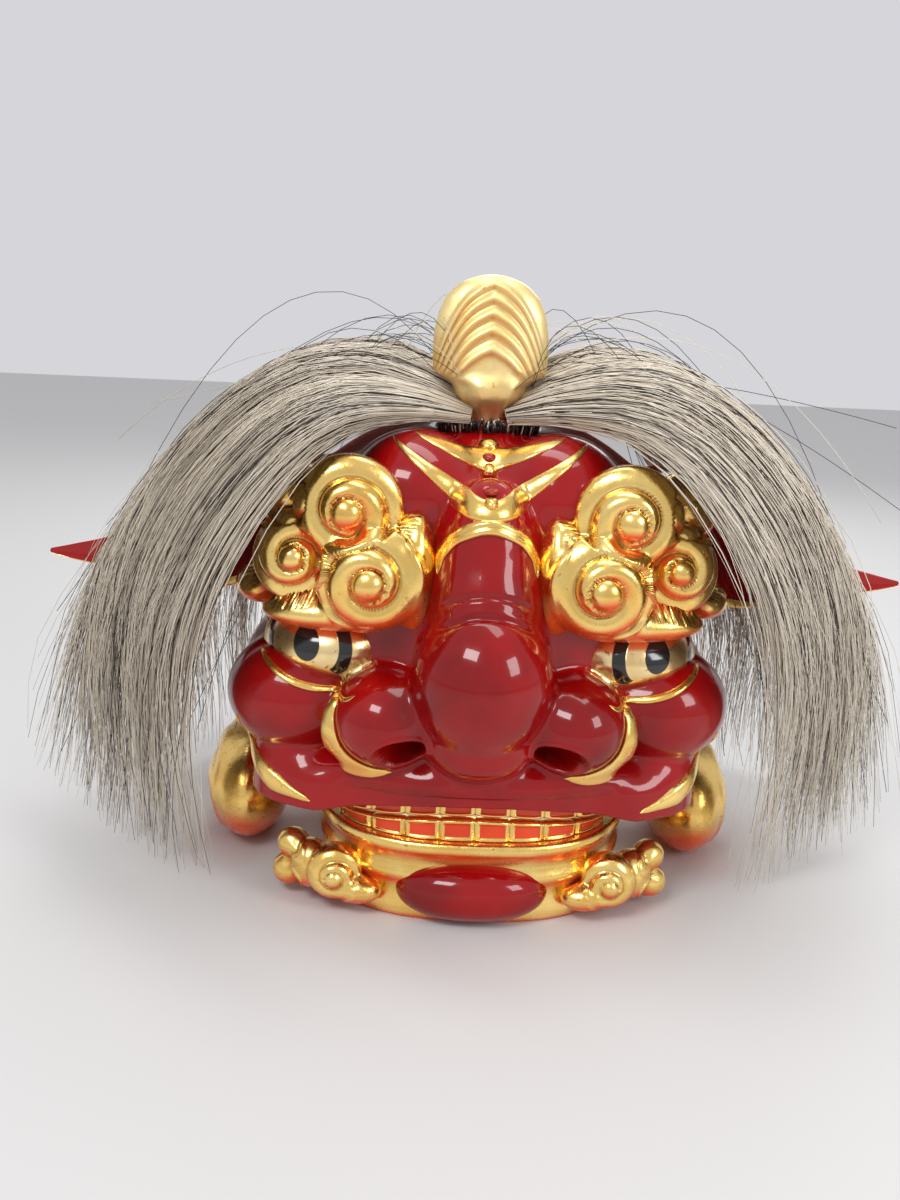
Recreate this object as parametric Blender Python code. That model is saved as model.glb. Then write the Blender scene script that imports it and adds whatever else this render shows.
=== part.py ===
# Lion dance head: a hollow carved head in red lacquer and gold leaf, with a hinged lower jaw and
# a horsehair mane. Its faceted solids are in metres, +Z up, the face looks along -Y, and the floor
# that the head rests on is Z = 0. X = 0 is the middle plane.

import bmesh
import bpy
import numpy as np
from mathutils.bvhtree import BVHTree

# Driving sizes
HALF_WIDTH = 0.155       # middle plane to the side of the cheek
NOSE_REACH = 0.155       # crest line to the tip of the nose
CROWN_HEIGHT = 0.300     # floor to the top of the crown
HEAD_BACK = 0.150        # crest line back to the rear rim
WALL = 0.010             # thickness of the carved wall
LIP_CENTRE = 0.078       # floor to the upper lip, in the middle
LIP_CORNER = 0.066       # floor to the rim, from the lip corners back
SKIRT_HEIGHT = 0.083     # the skin falls straight below this height
GAP = 0.0003             # clearance between seated pieces
SINK = 0.004             # how far a seated piece starts under the skin, before it is cut
SEAT_GROW = 1.3 * GAP    # how much larger than the skin its cutter is

NOSTRIL_OUT = 0.0465     # middle plane to the middle of a nostril
NOSTRIL_HEIGHT = 0.1115
NOSTRIL_WIDTH = 0.024
NOSTRIL_TALL = 0.018
NOSTRIL_DEEP = 0.050
NOSTRIL_LEAN = -0.30     # radians that a nostril runs upwards into the head
EYE_OUT = 0.090          # middle plane to the middle of the eyeball
EYE_HEIGHT = 0.163
EYE_WIDE = 0.082
EYE_TALL = 0.046
EYE_BULGE = 0.014        # eyeball ahead of the skin

BROW_OUT = 0.086         # middle plane to the middle of the brow
BROW_HEIGHT = 0.215      # floor to the middle of the brow
BROW_SINK = 0.030        # middle of the brow behind the skin's front
BROW_SIZE = 0.060        # half the brow's width

KNOB_HEIGHT = 0.928 * CROWN_HEIGHT  # floor to the gold knob on the forehead
KNOB_HALF = (0.0070, 0.0085, 0.0048)
BEAD_HEIGHT = 0.903 * CROWN_HEIGHT  # floor to the red bead under it
BEAD_HALF = (0.0058, 0.0075, 0.0036)
UPPER_BAND_HALF = 0.0042  # half the width of each raised band, and how far it stands out
UPPER_BAND_RISE = 0.0030
LOWER_BAND_HALF = 0.0048
LOWER_BAND_RISE = 0.0032
ARCH_RISE = 0.0032
NOSTRIL_TRIM_RISE = 0.0050
CHEEK_EDGE_RISE = 0.0040
ROOT_HALF_WIDTH = 0.026  # half the row of cut hair in front of the crest
ROOT_BACK = 0.008
ROOT_AHEAD = 0.004
ROOT_TALL = 0.006

CREST_TALL = 0.097
CREST_SINK = 0.012       # foot of the jewel under the crown
CREST_HALF_WIDTH = 0.036
CREST_HALF_DEPTH = 0.016

EAR_LENGTH = 0.153       # root to the ear's tip
EAR_HEIGHT = 0.110       # ear's height at its root
EAR_LOW = 0.170          # floor to the ear's lower edge
EAR_BACK = 0.040         # crest line to the ear's middle
EAR_THICK = 0.009
EAR_CUP = 0.004          # how far the ear's edges stand ahead of its middle
EAR_SINK = 0.018         # ear's root inside the cheek's side

JAW_HALF_WIDTH = 0.100
JAW_SETBACK = 0.006      # jaw's front behind the lip's front
JAW_BACK = 0.090         # crest line to the ends of the jaw's arms
JAW_HEIGHT = 0.051
JAW_WALL = 0.022
JAW_POWER = 2.7          # of the superellipse that rounds the jaw's front
JAW_FLOOR = 0.008        # thickness of the floor board, whose underside is flush with the sole
ROD_BACK = 0.062         # crest line to the hinge
ROD_HEIGHT = 0.030       # floor to the hinge
ROD_DIAMETER = 0.008
ROD_CLEARANCE = 0.0006
ROD_SOCKET = 0.008       # depth of the rod's ends in the curls

TOOTH_SPAN = 0.084       # middle plane to the end of a row, along X
TEETH_THICK = 0.011
TEETH_BACK = 0.006       # front of the teeth behind the jaw's front
UPPER_TOOTH = 0.0115     # upper teeth below the lip
LIP_GAP = 0.0006         # clearance between the curved lip and the teeth under it
BITE_GAP = 0.0010
TOOTH_DENT = 0.0016      # joint between two teeth behind their fronts
TOOTH_SHORT = 0.0012     # joint short of the teeth's edges
TOOTH_COUNT = 8

CHIN_HALF_WIDTH = 0.046
CHIN_HEIGHT = 0.040
CHIN_BULGE = 0.012

CURL_INSET = 0.005       # middle of a rear cheek curl inside the cheek's side
CURL_WIDE = 0.058
CURL_TALL = 0.082
CURL_LONG = 0.130
CURL_BACK = 0.030        # crest line to the middle of the curl

MANE_SPAN = 0.290        # middle plane to the mane's widest reach
MANE_THICK = 0.015
MANE_SINK = 0.004        # middle of a sheaf's root under the crown
MANE_LOCKS = 4

# How fine the faceted solids are
SKIN_RINGS = 22
SKIN_SPOKES = 48
INNER_RINGS = 6
BROW_RINGS = 8
BROW_SPOKES = 24
JAW_STEPS = 17
MELT = 0.0035            # how softly neighbouring lobes run together

# Lobes of the carved skin. Places and half sizes are shares: x and half_x of HALF_WIDTH, y and
# half_y of NOSE_REACH, z and half_z of CROWN_HEIGHT. A pair stands on both sides.
SKIN_LOBES = (
    # name, paired, x, y, z, half_x, half_y, half_z
    ("skull", False, 0.0, 0.20, 0.590, 0.89, 0.87, 0.400),
    ("rear", False, 0.0, 0.72, 0.500, 0.94, 0.86, 0.450),
    ("bridge", False, 0.0, -0.55, 0.720, 0.19, 0.21, 0.165),
    ("bulb", False, 0.0, -0.73, 0.515, 0.26, 0.27, 0.148),
    ("nose_root", False, 0.0, -0.64, 0.650, 0.20, 0.20, 0.110),
    ("septum", False, 0.0, -0.70, 0.380, 0.20, 0.18, 0.067),
    ("upper_lip", False, 0.0, -0.53, 0.297, 0.60, 0.24, 0.057),
    ("nose_wing", True, 0.355, -0.63, 0.420, 0.20, 0.23, 0.098),
    ("lip_corner", True, 0.550, -0.46, 0.270, 0.23, 0.20, 0.057),
    ("lip_side", True, 0.700, -0.34, 0.285, 0.19, 0.25, 0.085),
    ("cheek", True, 0.710, -0.36, 0.425, 0.28, 0.28, 0.120),
    ("cheek_side", True, 0.780, 0.02, 0.390, 0.21, 0.50, 0.150),
    ("brow_ridge", True, 0.500, -0.29, 0.720, 0.37, 0.32, 0.165),
    ("forehead", True, 0.275, -0.29, 0.840, 0.26, 0.28, 0.120),
    ("temple", True, 0.730, 0.05, 0.680, 0.22, 0.45, 0.200),
    ("palate", False, 0.0, -0.20, 0.330, 0.47, 0.48, 0.100),
)
INNER_LOBES = ("skull", "rear", "palate")

# Lobes of a brow, about its middle. All columns are shares of BROW_SIZE, with y towards the face.
BROW_LOBES = (
    # name, out, ahead, up, half_x, half_y, half_z
    ("core", 0.0, 0.05, 0.0, 0.62, 0.40, 0.50),
    ("upper_whorl", -0.10, 0.32, 0.50, 0.50, 0.36, 0.50),
    ("inner_whorl", -0.33, 0.52, -0.13, 0.50, 0.36, 0.50),
    ("outer_whorl", 0.42, 0.20, 0.02, 0.40, 0.36, 0.42),
    ("back_whorl", 0.52, -0.16, 0.55, 0.36, 0.34, 0.36),
    ("tail", 0.80, -0.25, -0.38, 0.26, 0.40, 0.20),
    ("lower_edge", -0.05, 0.26, -0.52, 0.78, 0.36, 0.20),
    ("inner_edge", -0.76, 0.40, -0.10, 0.20, 0.32, 0.60),
)

# Outline of the crest jewel: height as a share of its whole height, and half width and half
# depth as shares of CREST_HALF_WIDTH and CREST_HALF_DEPTH.
CREST_OUTLINE = (
    # height, half_width, half_depth
    (0.00, 0.30, 0.60),
    (0.14, 0.34, 0.70),
    (0.23, 0.58, 1.10),
    (0.32, 0.66, 1.15),
    (0.38, 0.98, 0.98),
    (0.50, 1.00, 0.90),
    (0.62, 0.96, 0.82),
    (0.75, 0.83, 0.70),
    (0.86, 0.64, 0.56),
    (0.94, 0.42, 0.40),
    (0.985, 0.20, 0.22),
)

# Outline of an ear: distance out as a share of its length, and its lower and upper edges as
# shares of EAR_HEIGHT above EAR_LOW.
EAR_OUTLINE = (
    # out, lower, upper, thickness
    (0.00, 0.12, 0.90, 1.00),
    (0.12, 0.02, 1.02, 1.00),
    (0.22, -0.03, 0.98, 1.00),
    (0.32, -0.04, 0.80, 0.95),
    (0.44, -0.02, 0.56, 0.85),
    (0.56, 0.02, 0.37, 0.75),
    (0.72, 0.06, 0.26, 0.60),
    (0.88, 0.10, 0.20, 0.40),
    (0.985, 0.135, 0.165, 0.20),
)

# Route of a sheaf's two edges from root to tip. out is a share of MANE_SPAN, back a share of
# HEAD_BACK from the crest line, up a share of CROWN_HEIGHT.
FRONT_SHEAF_INNER = (
    # out, back, up
    (0.117, -0.21, 0.967),
    (0.24, -0.50, 0.980),
    (0.372, -0.76, 0.920),
    (0.50, -0.82, 0.760),
    (0.58, -0.70, 0.550),
    (0.62, -0.52, 0.333),
    (0.63, -0.38, 0.120),
)
FRONT_SHEAF_OUTER = (
    (0.117, 0.16, 1.045),
    (0.23, 0.13, 1.100),
    (0.41, 0.09, 1.065),
    (0.62, 0.06, 0.90),
    (0.80, 0.04, 0.68),
    (0.91, 0.03, 0.48),
    (0.96, 0.02, 0.30),
)
REAR_SHEAF_INNER = (
    (0.117, 0.34, 1.040),
    (0.23, 0.42, 1.095),
    (0.41, 0.52, 1.055),
    (0.62, 0.60, 0.87),
    (0.78, 0.62, 0.64),
    (0.88, 0.62, 0.42),
    (0.91, 0.62, 0.24),
)
REAR_SHEAF_OUTER = (
    (0.117, 0.86, 0.990),
    (0.22, 0.96, 1.020),
    (0.36, 1.06, 0.960),
    (0.50, 1.14, 0.78),
    (0.57, 1.18, 0.56),
    (0.61, 1.20, 0.34),
    (0.60, 1.20, 0.14),
)

SIDES = (("left", -1.0), ("right", 1.0))
CENTRE = np.array((0.0, 0.0, 0.46 * CROWN_HEIGHT))
POLE_TILT = 0.75         # radians from the nose's direction up to the pole of the skin's grid
FRONT_FINER = 0.45       # how much closer the grid's spokes stand in front than on average


def clear_scene():
    for obj in list(bpy.data.objects):
        bpy.data.objects.remove(obj)


def make_material(name, colour, roughness, metallic):
    material = bpy.data.materials.new(name)
    material.use_nodes = True
    shader = material.node_tree.nodes["Principled BSDF"]
    shader.inputs["Base Color"].default_value = (*colour, 1.0)
    shader.inputs["Roughness"].default_value = roughness
    shader.inputs["Metallic"].default_value = metallic
    return material


def make_object(name, points, faces, material, parent=None):
    """A closed mesh from points and faces, its faces turned to point out."""
    mesh = bpy.data.meshes.new(name)
    work = bmesh.new()
    corners = [work.verts.new(point) for point in points]
    for face in faces:
        work.faces.new([corners[index] for index in face])
    bmesh.ops.recalc_face_normals(work, faces=work.faces)
    bmesh.ops.triangulate(work, faces=[face for face in work.faces if len(face.verts) > 4])
    if work.calc_volume(signed=True) < 0:
        bmesh.ops.reverse_faces(work, faces=work.faces)
    work.to_mesh(mesh)
    work.free()
    mesh.shade_smooth()
    mesh.set_sharp_from_angle(angle=np.radians(50))
    obj = bpy.data.objects.new(name, mesh)
    bpy.context.scene.collection.objects.link(obj)
    if material:
        mesh.materials.append(material)
    if parent:
        obj.parent = parent
        obj.matrix_parent_inverse = parent.matrix_world.inverted()
    return obj


def make_cutter(name, points, faces):
    cutter = make_object(name, points, faces, None)
    cutter.hide_render = True
    cutter.display_type = "WIRE"
    return cutter


def cut(obj, cutter):
    modifier = obj.modifiers.new("Cut " + cutter.name, "BOOLEAN")
    modifier.operation = "DIFFERENCE"
    modifier.solver = "EXACT"
    modifier.object = cutter


def unit(vectors):
    return vectors / np.maximum(np.linalg.norm(vectors, axis=-1, keepdims=True), 1e-12)


def lobes_field(points, lobes):
    """Melted union of ellipsoids: -MELT ln(sum of exp(-distance / MELT)), negative inside."""
    total = np.zeros(points.shape[:-1])
    for middle, half in lobes:
        offset = points - middle
        scaled = np.linalg.norm(offset / half, axis=-1)
        slope = np.linalg.norm(offset / half**2, axis=-1)
        distance = scaled * (scaled - 1) / np.maximum(slope, 1e-9)
        total += np.exp(-np.minimum(distance, 0.3) / MELT)
    return -MELT * np.log(total)


def skin_lobes(names=None):
    scale = np.array((HALF_WIDTH, NOSE_REACH, CROWN_HEIGHT))
    found = []
    for name, paired, *shares in SKIN_LOBES:
        if names and name not in names:
            continue
        middle = np.array(shares[:3]) * scale
        half = np.array(shares[3:]) * scale
        for side in ((-1, 1) if paired else (1,)):
            found.append((middle * (side, 1, 1), half))
    return found


def skin_field(points, names=None):
    """The field of the skin's lobes, which falls straight below SKIRT_HEIGHT."""
    level = np.maximum(points[..., 2:], SKIRT_HEIGHT)
    return lobes_field(np.concatenate([points[..., :2], level], axis=-1), skin_lobes(names))


def ray_reach(start, directions, field, reach=0.30):
    """Length of each ray from start to where it last leaves the field, closed in from outside."""
    length = np.full(directions.shape[:-1], reach)
    for _ in range(48):
        points = start + directions * length[..., None]
        length = length - np.maximum(0.8 * field(points), 0)
    return np.maximum(length, SINK)


def front_of(across, height):
    """The skin's front point at each place seen from the face's side."""
    points = np.stack([across, np.full_like(across, -0.25), height], axis=-1)
    for _ in range(60):
        points[:, 1] += np.maximum(0.8 * skin_field(points), 0)
    return points


def crown_top():
    """Height of the skin on the crest line."""
    up = np.array((0.0, 0.0, 1.0))
    return CENTRE[2] + float(outer_reach(up))


def jaw_reach():
    """Crest line to the jaw's front, which stands behind the lip's front."""
    lip = front_of(np.array([0.0]), np.array([LIP_CENTRE + SINK]))[0]
    return -lip[1] - JAW_SETBACK


def rim_height(across):
    """Height of the lower rim: the lip curves down from its middle to its corners."""
    share = np.clip(np.abs(across) / (JAW_HALF_WIDTH - 0.005), 0, 1)
    return LIP_CENTRE + (LIP_CORNER - LIP_CENTRE) * share**2


def bite_height(across):
    """Height of the upper teeth's edges, which follow the lip."""
    return rim_height(across) - UPPER_TOOTH


def spoke_directions(angles, tilts):
    """Unit vectors at tilt from the nose's direction, turned by angle about it from below."""
    angles, tilts = np.broadcast_arrays(angles, tilts)
    outward = np.sin(tilts)
    return np.stack([outward * np.sin(angles), -np.cos(tilts), -outward * np.cos(angles)], axis=-1)


def skin_rays(angles, tilts):
    """Unit vectors at tilt from the pole on the forehead, turned by angle from the chin's side."""
    rays = spoke_directions(angles, tilts)
    lean = np.array(((1, 0, 0), (0, np.cos(POLE_TILT), np.sin(POLE_TILT)),
                     (0, -np.sin(POLE_TILT), np.cos(POLE_TILT))))
    return rays @ lean.T


def past_rim(angles, tilts, reach_of):
    """How far each ray's point on the skin lies below the lower rim or behind the rear plane."""
    rays = skin_rays(angles, tilts)
    points = CENTRE + rays * reach_of(rays)[..., None]
    below = rim_height(points[..., 0]) - points[..., 2]
    return np.maximum(below, points[..., 1] - HEAD_BACK)


def rim_tilts(angles, reach_of):
    """Tilt at which each spoke of the skin crosses the lower rim or the rear plane."""
    tilts = np.linspace(0.25, 2.75, 60)
    past = past_rim(angles[:, None], tilts[None, :], reach_of)
    first = np.argmax(past > 0, axis=1)
    low, high = tilts[first - 1], tilts[first]
    for _ in range(14):
        middle = (low + high) / 2
        over = past_rim(angles, middle, reach_of) > 0
        high = np.where(over, middle, high)
        low = np.where(over, low, middle)
    return (low + high) / 2


def skin_spokes(count):
    """Spoke angles, closer together in front: turn - FRONT_FINER sin(turn)."""
    turns = np.arange(count) * 2 * np.pi / count
    return turns - FRONT_FINER * np.sin(turns)


def outer_reach(directions):
    return ray_reach(CENTRE, directions, skin_field)


def inner_reach(directions):
    return ray_reach(CENTRE, directions, lambda points: skin_field(points, INNER_LOBES)) - WALL


def skin_grid(angles, rings, reach_of):
    """Points on the skin, ring by ring from the pole out to the rim."""
    tilts = rim_tilts(angles, reach_of)
    shares = np.linspace(0, 1, rings + 1)[1:]
    grid = skin_rays(angles[None, :], shares[:, None] * tilts[None, :])
    points = CENTRE + grid * reach_of(grid)[..., None]
    pole = skin_rays(0.0, 0.0)
    return points, CENTRE + pole * reach_of(pole)


def ring_faces(first, second, count):
    """Triangles between two rings of points, with the same diagonal in every copy."""
    faces = []
    for i in range(count):
        after = (i + 1) % count
        faces.append((first + i, first + after, second + after))
        faces.append((first + i, second + after, second + i))
    return faces


def patch_faces(start, rings, count):
    """Faces of a pole and the rings around it, whose points follow the pole."""
    faces = [(start, start + 1 + (i + 1) % count, start + 1 + i) for i in range(count)]
    for ring in range(rings - 1):
        faces += ring_faces(start + 1 + ring * count, start + 1 + (ring + 1) * count, count)
    return faces


def make_head_shell(material, angles):
    outer, outer_pole = skin_grid(angles, SKIN_RINGS, outer_reach)
    inner, inner_pole = skin_grid(angles, INNER_RINGS, inner_reach)
    points = [outer_pole, *outer.reshape(-1, 3), inner_pole, *inner.reshape(-1, 3)]
    second = 1 + outer.shape[0] * SKIN_SPOKES
    faces = patch_faces(0, SKIN_RINGS, SKIN_SPOKES)
    faces += [face[::-1] for face in patch_faces(second, INNER_RINGS, SKIN_SPOKES)]
    faces += ring_faces(second - SKIN_SPOKES, len(points) - SKIN_SPOKES, SKIN_SPOKES)
    shell = make_object("head_shell", points, faces, material)
    for side, sign in SIDES:
        cut(shell, make_nostril_cutter(side, sign))


def grown_points(points, faces, amount):
    """Each point moved out until it clears the planes of all faces at it by amount."""
    faces = np.array(faces)
    corners = points[faces]
    normals = np.cross(corners[:, 1] - corners[:, 0], corners[:, 2] - corners[:, 0])
    normals *= np.sign((normals * corners[:, 0]).sum())
    normals = unit(normals)
    ways = np.zeros_like(points)
    for corner in faces.T:
        np.add.at(ways, corner, normals)
    ways = unit(ways)
    for _ in range(12):
        least = np.full(len(points), 2.0)
        for corner in faces.T:
            np.minimum.at(least, corner, (ways[corner] * normals).sum(axis=1))
        lean = np.zeros_like(points)
        for corner in faces.T:
            worst = (ways[corner] * normals).sum(axis=1) <= least[corner] + 1e-6
            np.add.at(lean, corner, normals * worst[:, None])
        ways = unit(ways + 0.15 * unit(lean))
    for corner in faces.T:
        np.minimum.at(least, corner, (ways[corner] * normals).sum(axis=1))
    return points + ways * (amount / np.clip(least, 0.25, 1.0))[:, None]


def make_skin_guard(angles):
    """A copy of the closed skin, larger all round by the gap, that cuts the seats of its pieces."""
    outer, pole = skin_grid(angles, SKIN_RINGS, outer_reach)
    hub = np.array((0.0, HEAD_BACK, LIP_CORNER))
    points = np.array([pole, *outer.reshape(-1, 3), hub])
    faces = patch_faces(0, SKIN_RINGS, SKIN_SPOKES)
    last = len(points) - 1
    rim = last - SKIN_SPOKES
    faces += [(rim + i, rim + (i + 1) % SKIN_SPOKES, last) for i in range(SKIN_SPOKES)]
    points = grown_points(points, faces, SEAT_GROW)
    tree = BVHTree.FromPolygons([tuple(point) for point in points], faces)
    return make_cutter("skin_guard", points, faces), tree


def ball_points(middle, half, rows, columns, lean=0.0):
    """An ellipsoid with poles along Y, leaned about X."""
    tilts = np.linspace(0, np.pi, rows + 1)[1:-1]
    turns = np.arange(columns) * 2 * np.pi / columns
    ring = np.stack(np.broadcast_arrays(
        np.sin(tilts)[:, None] * np.cos(turns),
        -np.cos(tilts)[:, None] + 0 * turns,
        np.sin(tilts)[:, None] * np.sin(turns)), axis=-1).reshape(-1, 3)
    points = np.concatenate([[(0, -1, 0)], ring, [(0, 1, 0)]]) * half
    turn = np.array(((1, 0, 0), (0, np.cos(lean), -np.sin(lean)), (0, np.sin(lean), np.cos(lean))))
    faces = patch_faces(0, rows - 1, columns)
    last = len(points) - 1
    faces += [(last - columns + i, last - columns + (i + 1) % columns, last)
              for i in range(columns)]
    return points @ turn.T + middle, faces


def make_nostril_cutter(side, sign):
    mouth = front_of(np.array([sign * NOSTRIL_OUT]), np.array([NOSTRIL_HEIGHT]))[0]
    half = np.array((NOSTRIL_WIDTH, NOSTRIL_DEEP, NOSTRIL_TALL)) / 2
    points, faces = ball_points(mouth + (0, SINK, 0), half, 8, 14, lean=NOSTRIL_LEAN)
    return make_cutter("nostril_cutter_" + side, points, faces)


def eye_place(sign):
    across, height = sign * EYE_OUT, EYE_HEIGHT
    front = front_of(np.array([across]), np.array([height]))[0]
    half = np.array((EYE_WIDE, 2 * EYE_TALL, EYE_TALL)) / 2
    return front + (0, half[1] - EYE_BULGE, 0), half


def make_eye(side, sign, material, guard):
    middle, half = eye_place(sign)
    points, faces = ball_points(middle, half, 10, 16)
    cut(make_object("eye_" + side, points, faces, material), guard)


def make_eye_guard(side, sign):
    middle, half = eye_place(sign)
    points, faces = ball_points(middle, half + 2 * GAP, 10, 16)
    return make_cutter("eye_guard_" + side, points, faces)


def make_brow(side, sign, material, cutters):
    """A cloud of whorls: the reach of rays from the brow's middle through its melted lobes."""
    middle = front_of(np.array([BROW_OUT]), np.array([BROW_HEIGHT]))[0] + (0, BROW_SINK, 0)
    lobes = []
    for _, out, ahead, up, half_x, half_y, half_z in BROW_LOBES:
        place = middle + np.array((out, -ahead, up)) * BROW_SIZE
        lobes.append((place, np.array((half_x, half_y, half_z)) * BROW_SIZE))

    def field(points):
        return lobes_field(points, lobes)

    angles = (np.arange(BROW_SPOKES) + 0.5) * 2 * np.pi / BROW_SPOKES
    tilts = np.linspace(0, np.radians(118), BROW_RINGS + 1)[1:]
    rays = spoke_directions(angles[None, :], tilts[:, None])
    rays = unit(rays * (1, 0.75, 1))
    grid = middle + rays * ray_reach(middle, rays, field, 0.12)[..., None]
    pole = np.array((0.0, -1.0, 0.0))
    tip = middle + pole * ray_reach(middle, pole, field, 0.12)
    points = np.array([tip, *grid.reshape(-1, 3), middle]) * (sign, 1, 1)
    faces = patch_faces(0, BROW_RINGS, BROW_SPOKES)
    last = len(points) - 1
    rim = last - BROW_SPOKES
    faces += [(rim + i, rim + (i + 1) % BROW_SPOKES, last) for i in range(BROW_SPOKES)]
    brow = make_object("brow_" + side, points, faces, material)
    for cutter in cutters:
        cut(brow, cutter)


def smooth_route(table, scale, count):
    """A smooth curve through a short table of places, as count points evenly along it."""
    knots = np.array(table) * scale
    padded = np.concatenate([[2 * knots[0] - knots[1]], knots, [2 * knots[-1] - knots[-2]]])
    pieces = []
    steps = np.linspace(0, 1, 12, endpoint=False)[:, None]
    for a, b, c, d in zip(padded[:-3], padded[1:-2], padded[2:-1], padded[3:]):
        pieces.append(0.5 * (2 * b + (c - a) * steps + (2 * a - 5 * b + 4 * c - d) * steps**2
                             + (3 * b - a - 3 * c + d) * steps**3))
    curve = np.concatenate([*pieces, knots[-1:]])
    length = np.concatenate([[0], np.cumsum(np.linalg.norm(np.diff(curve, axis=0), axis=1))])
    wanted = np.linspace(0, length[-1], count)
    return np.stack([np.interp(wanted, length, curve[:, axis]) for axis in range(3)], axis=1)


def skin_depths(tree, places, way):
    """How far the faceted skin stands along way, at places in the plane across it."""
    depths = []
    for place in places:
        hit, _, _, _ = tree.ray_cast(tuple(place + way * 0.5), tuple(-way))
        if hit is None:
            hit, _, _, _ = tree.find_nearest(tuple(place))
        depths.append(np.dot(hit, way))
    return np.array(depths)


def smooth_rows(rows, times):
    """The rows with each inner one averaged with its neighbours, weighted 1, 2, 1."""
    rows = rows.copy()
    for _ in range(times):
        rows[1:-1] = (rows[:-2] + 2 * rows[1:-1] + rows[2:]) / 4
    return rows


def make_band(name, places, half_widths, height, way, material, skin):
    """A raised strip laid on the skin along way; its section is a low arch."""
    guard, tree = skin
    way = unit(np.array(way))
    face_way = np.array((0.0, -1.0, 0.0))
    route = np.column_stack([places[:, 0], np.zeros(len(places)), places[:, 1]])
    route += skin_depths(tree, route, face_way)[:, None] * face_way
    route -= (route @ way)[:, None] * way
    route = smooth_rows(route, 2)
    across = unit(np.cross(np.gradient(route, axis=0), way))
    rows = []
    for offset, is_top in ((-1, False), (-0.6, True), (0.6, True), (1, False)):
        edge = route + offset * half_widths[:, None] * across
        depths = skin_depths(tree, edge, way)
        even = smooth_rows(depths, 3)
        if is_top:
            level = np.maximum(even + height, depths + 0.5 * height)
        else:
            level = np.minimum(even, depths) - SINK
        rows.append(edge + level[:, None] * way)
    points = np.stack(rows, axis=1).reshape(-1, 3)
    sides = len(rows)
    faces = []
    for row in range(len(route) - 1):
        faces += ring_faces(row * sides, (row + 1) * sides, sides)
    faces += [tuple(range(sides)), tuple(range(len(points) - sides, len(points)))]
    cut(make_object(name, points, faces, material), guard)


def spread(values, count):
    """A short row of values, spread evenly over count places."""
    return np.interp(np.linspace(0, 1, count), np.linspace(0, 1, len(values)), values)


def skin_places(table, count, sign=1.0):
    """Places across and up the face, from shares of HALF_WIDTH and CROWN_HEIGHT."""
    knots = [(sign * out, 0.0, up) for out, up in table]
    curve = smooth_route(knots, (HALF_WIDTH, 1.0, CROWN_HEIGHT), count)
    return curve[:, (0, 2)]


def make_forehead(gold, red, skin):
    guard = skin[0]
    upper = ((-0.27, 0.950), (-0.14, 0.915), (0.0, 0.880), (0.14, 0.915), (0.27, 0.950))
    lower = ((-0.36, 0.940), (-0.20, 0.885), (0.0, 0.828), (0.20, 0.885), (0.36, 0.940))
    make_band("forehead_band_upper", skin_places(upper, 11), np.full(11, UPPER_BAND_HALF), UPPER_BAND_RISE,
              (0.0, -0.75, 0.66), gold, skin)
    make_band("forehead_band_lower", skin_places(lower, 11), np.full(11, LOWER_BAND_HALF), LOWER_BAND_RISE,
              (0.0, -0.80, 0.60), gold, skin)
    arch = ((-0.165, 0.735), (-0.15, 0.768), (-0.085, 0.795), (0.0, 0.806),
            (0.085, 0.795), (0.15, 0.768), (0.165, 0.735))
    make_band("nose_arch", skin_places(arch, 13), spread((0.0034, 0.0042, 0.0034), 13), ARCH_RISE,
              (0.0, -0.97, 0.24), gold, skin)
    knob = front_of(np.array([0.0]), np.array([KNOB_HEIGHT]))[0]
    points, faces = ball_points(knob, np.array(KNOB_HALF), 6, 12)
    cut(make_object("forehead_knob", points, faces, gold), guard)
    bead = front_of(np.array([0.0]), np.array([BEAD_HEIGHT]))[0]
    points, faces = ball_points(bead, np.array(BEAD_HALF), 6, 12)
    cut(make_object("forehead_bead", points, faces, red), guard)


def make_crest(material, guard):
    """Ellipses stacked along the jewel's height and closed by a point at each end."""
    count = 16
    turns = np.arange(count) * 2 * np.pi / count
    tall = CREST_TALL
    foot = crown_top() - CREST_SINK
    points = []
    for height, half_width, half_depth in CREST_OUTLINE:
        for turn in turns:
            points.append((CREST_HALF_WIDTH * half_width * np.cos(turn),
                           CREST_HALF_DEPTH * half_depth * np.sin(turn),
                           foot + tall * height))
    faces = [tuple(range(count))]
    for row in range(len(CREST_OUTLINE) - 1):
        faces += ring_faces(row * count, (row + 1) * count, count)
    points.append((0.0, 0.0, foot + tall))
    last = len(points) - 1
    faces += [(last - count + i, last - count + (i + 1) % count, last) for i in range(count)]
    crest = make_object("crest_jewel", points, faces, material)
    cut(crest, guard)


def make_hair_root(material, guard):
    places = np.array([(across, 0.0) for across in np.linspace(-ROOT_HALF_WIDTH, ROOT_HALF_WIDTH, 9)])
    ahead = 0.15 * NOSE_REACH
    rays = unit(np.stack([places[:, 0], np.full(9, -ahead), np.full(9, 0.145)], axis=-1))
    top = CENTRE + rays * outer_reach(rays)[:, None]
    points = []
    for row in top:
        for back, up in ((-ROOT_AHEAD, -SINK), (-ROOT_AHEAD, ROOT_TALL - 0.001), (ROOT_BACK, ROOT_TALL),
                         (ROOT_BACK, -SINK)):
            points.append(row + (0.0, back, up))
    faces = [(0, 1, 2, 3), tuple(range(len(points) - 4, len(points)))]
    for row in range(8):
        faces += ring_faces(row * 4, (row + 1) * 4, 4)
    cut(make_object("hair_root", points, faces, material), guard)


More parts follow.
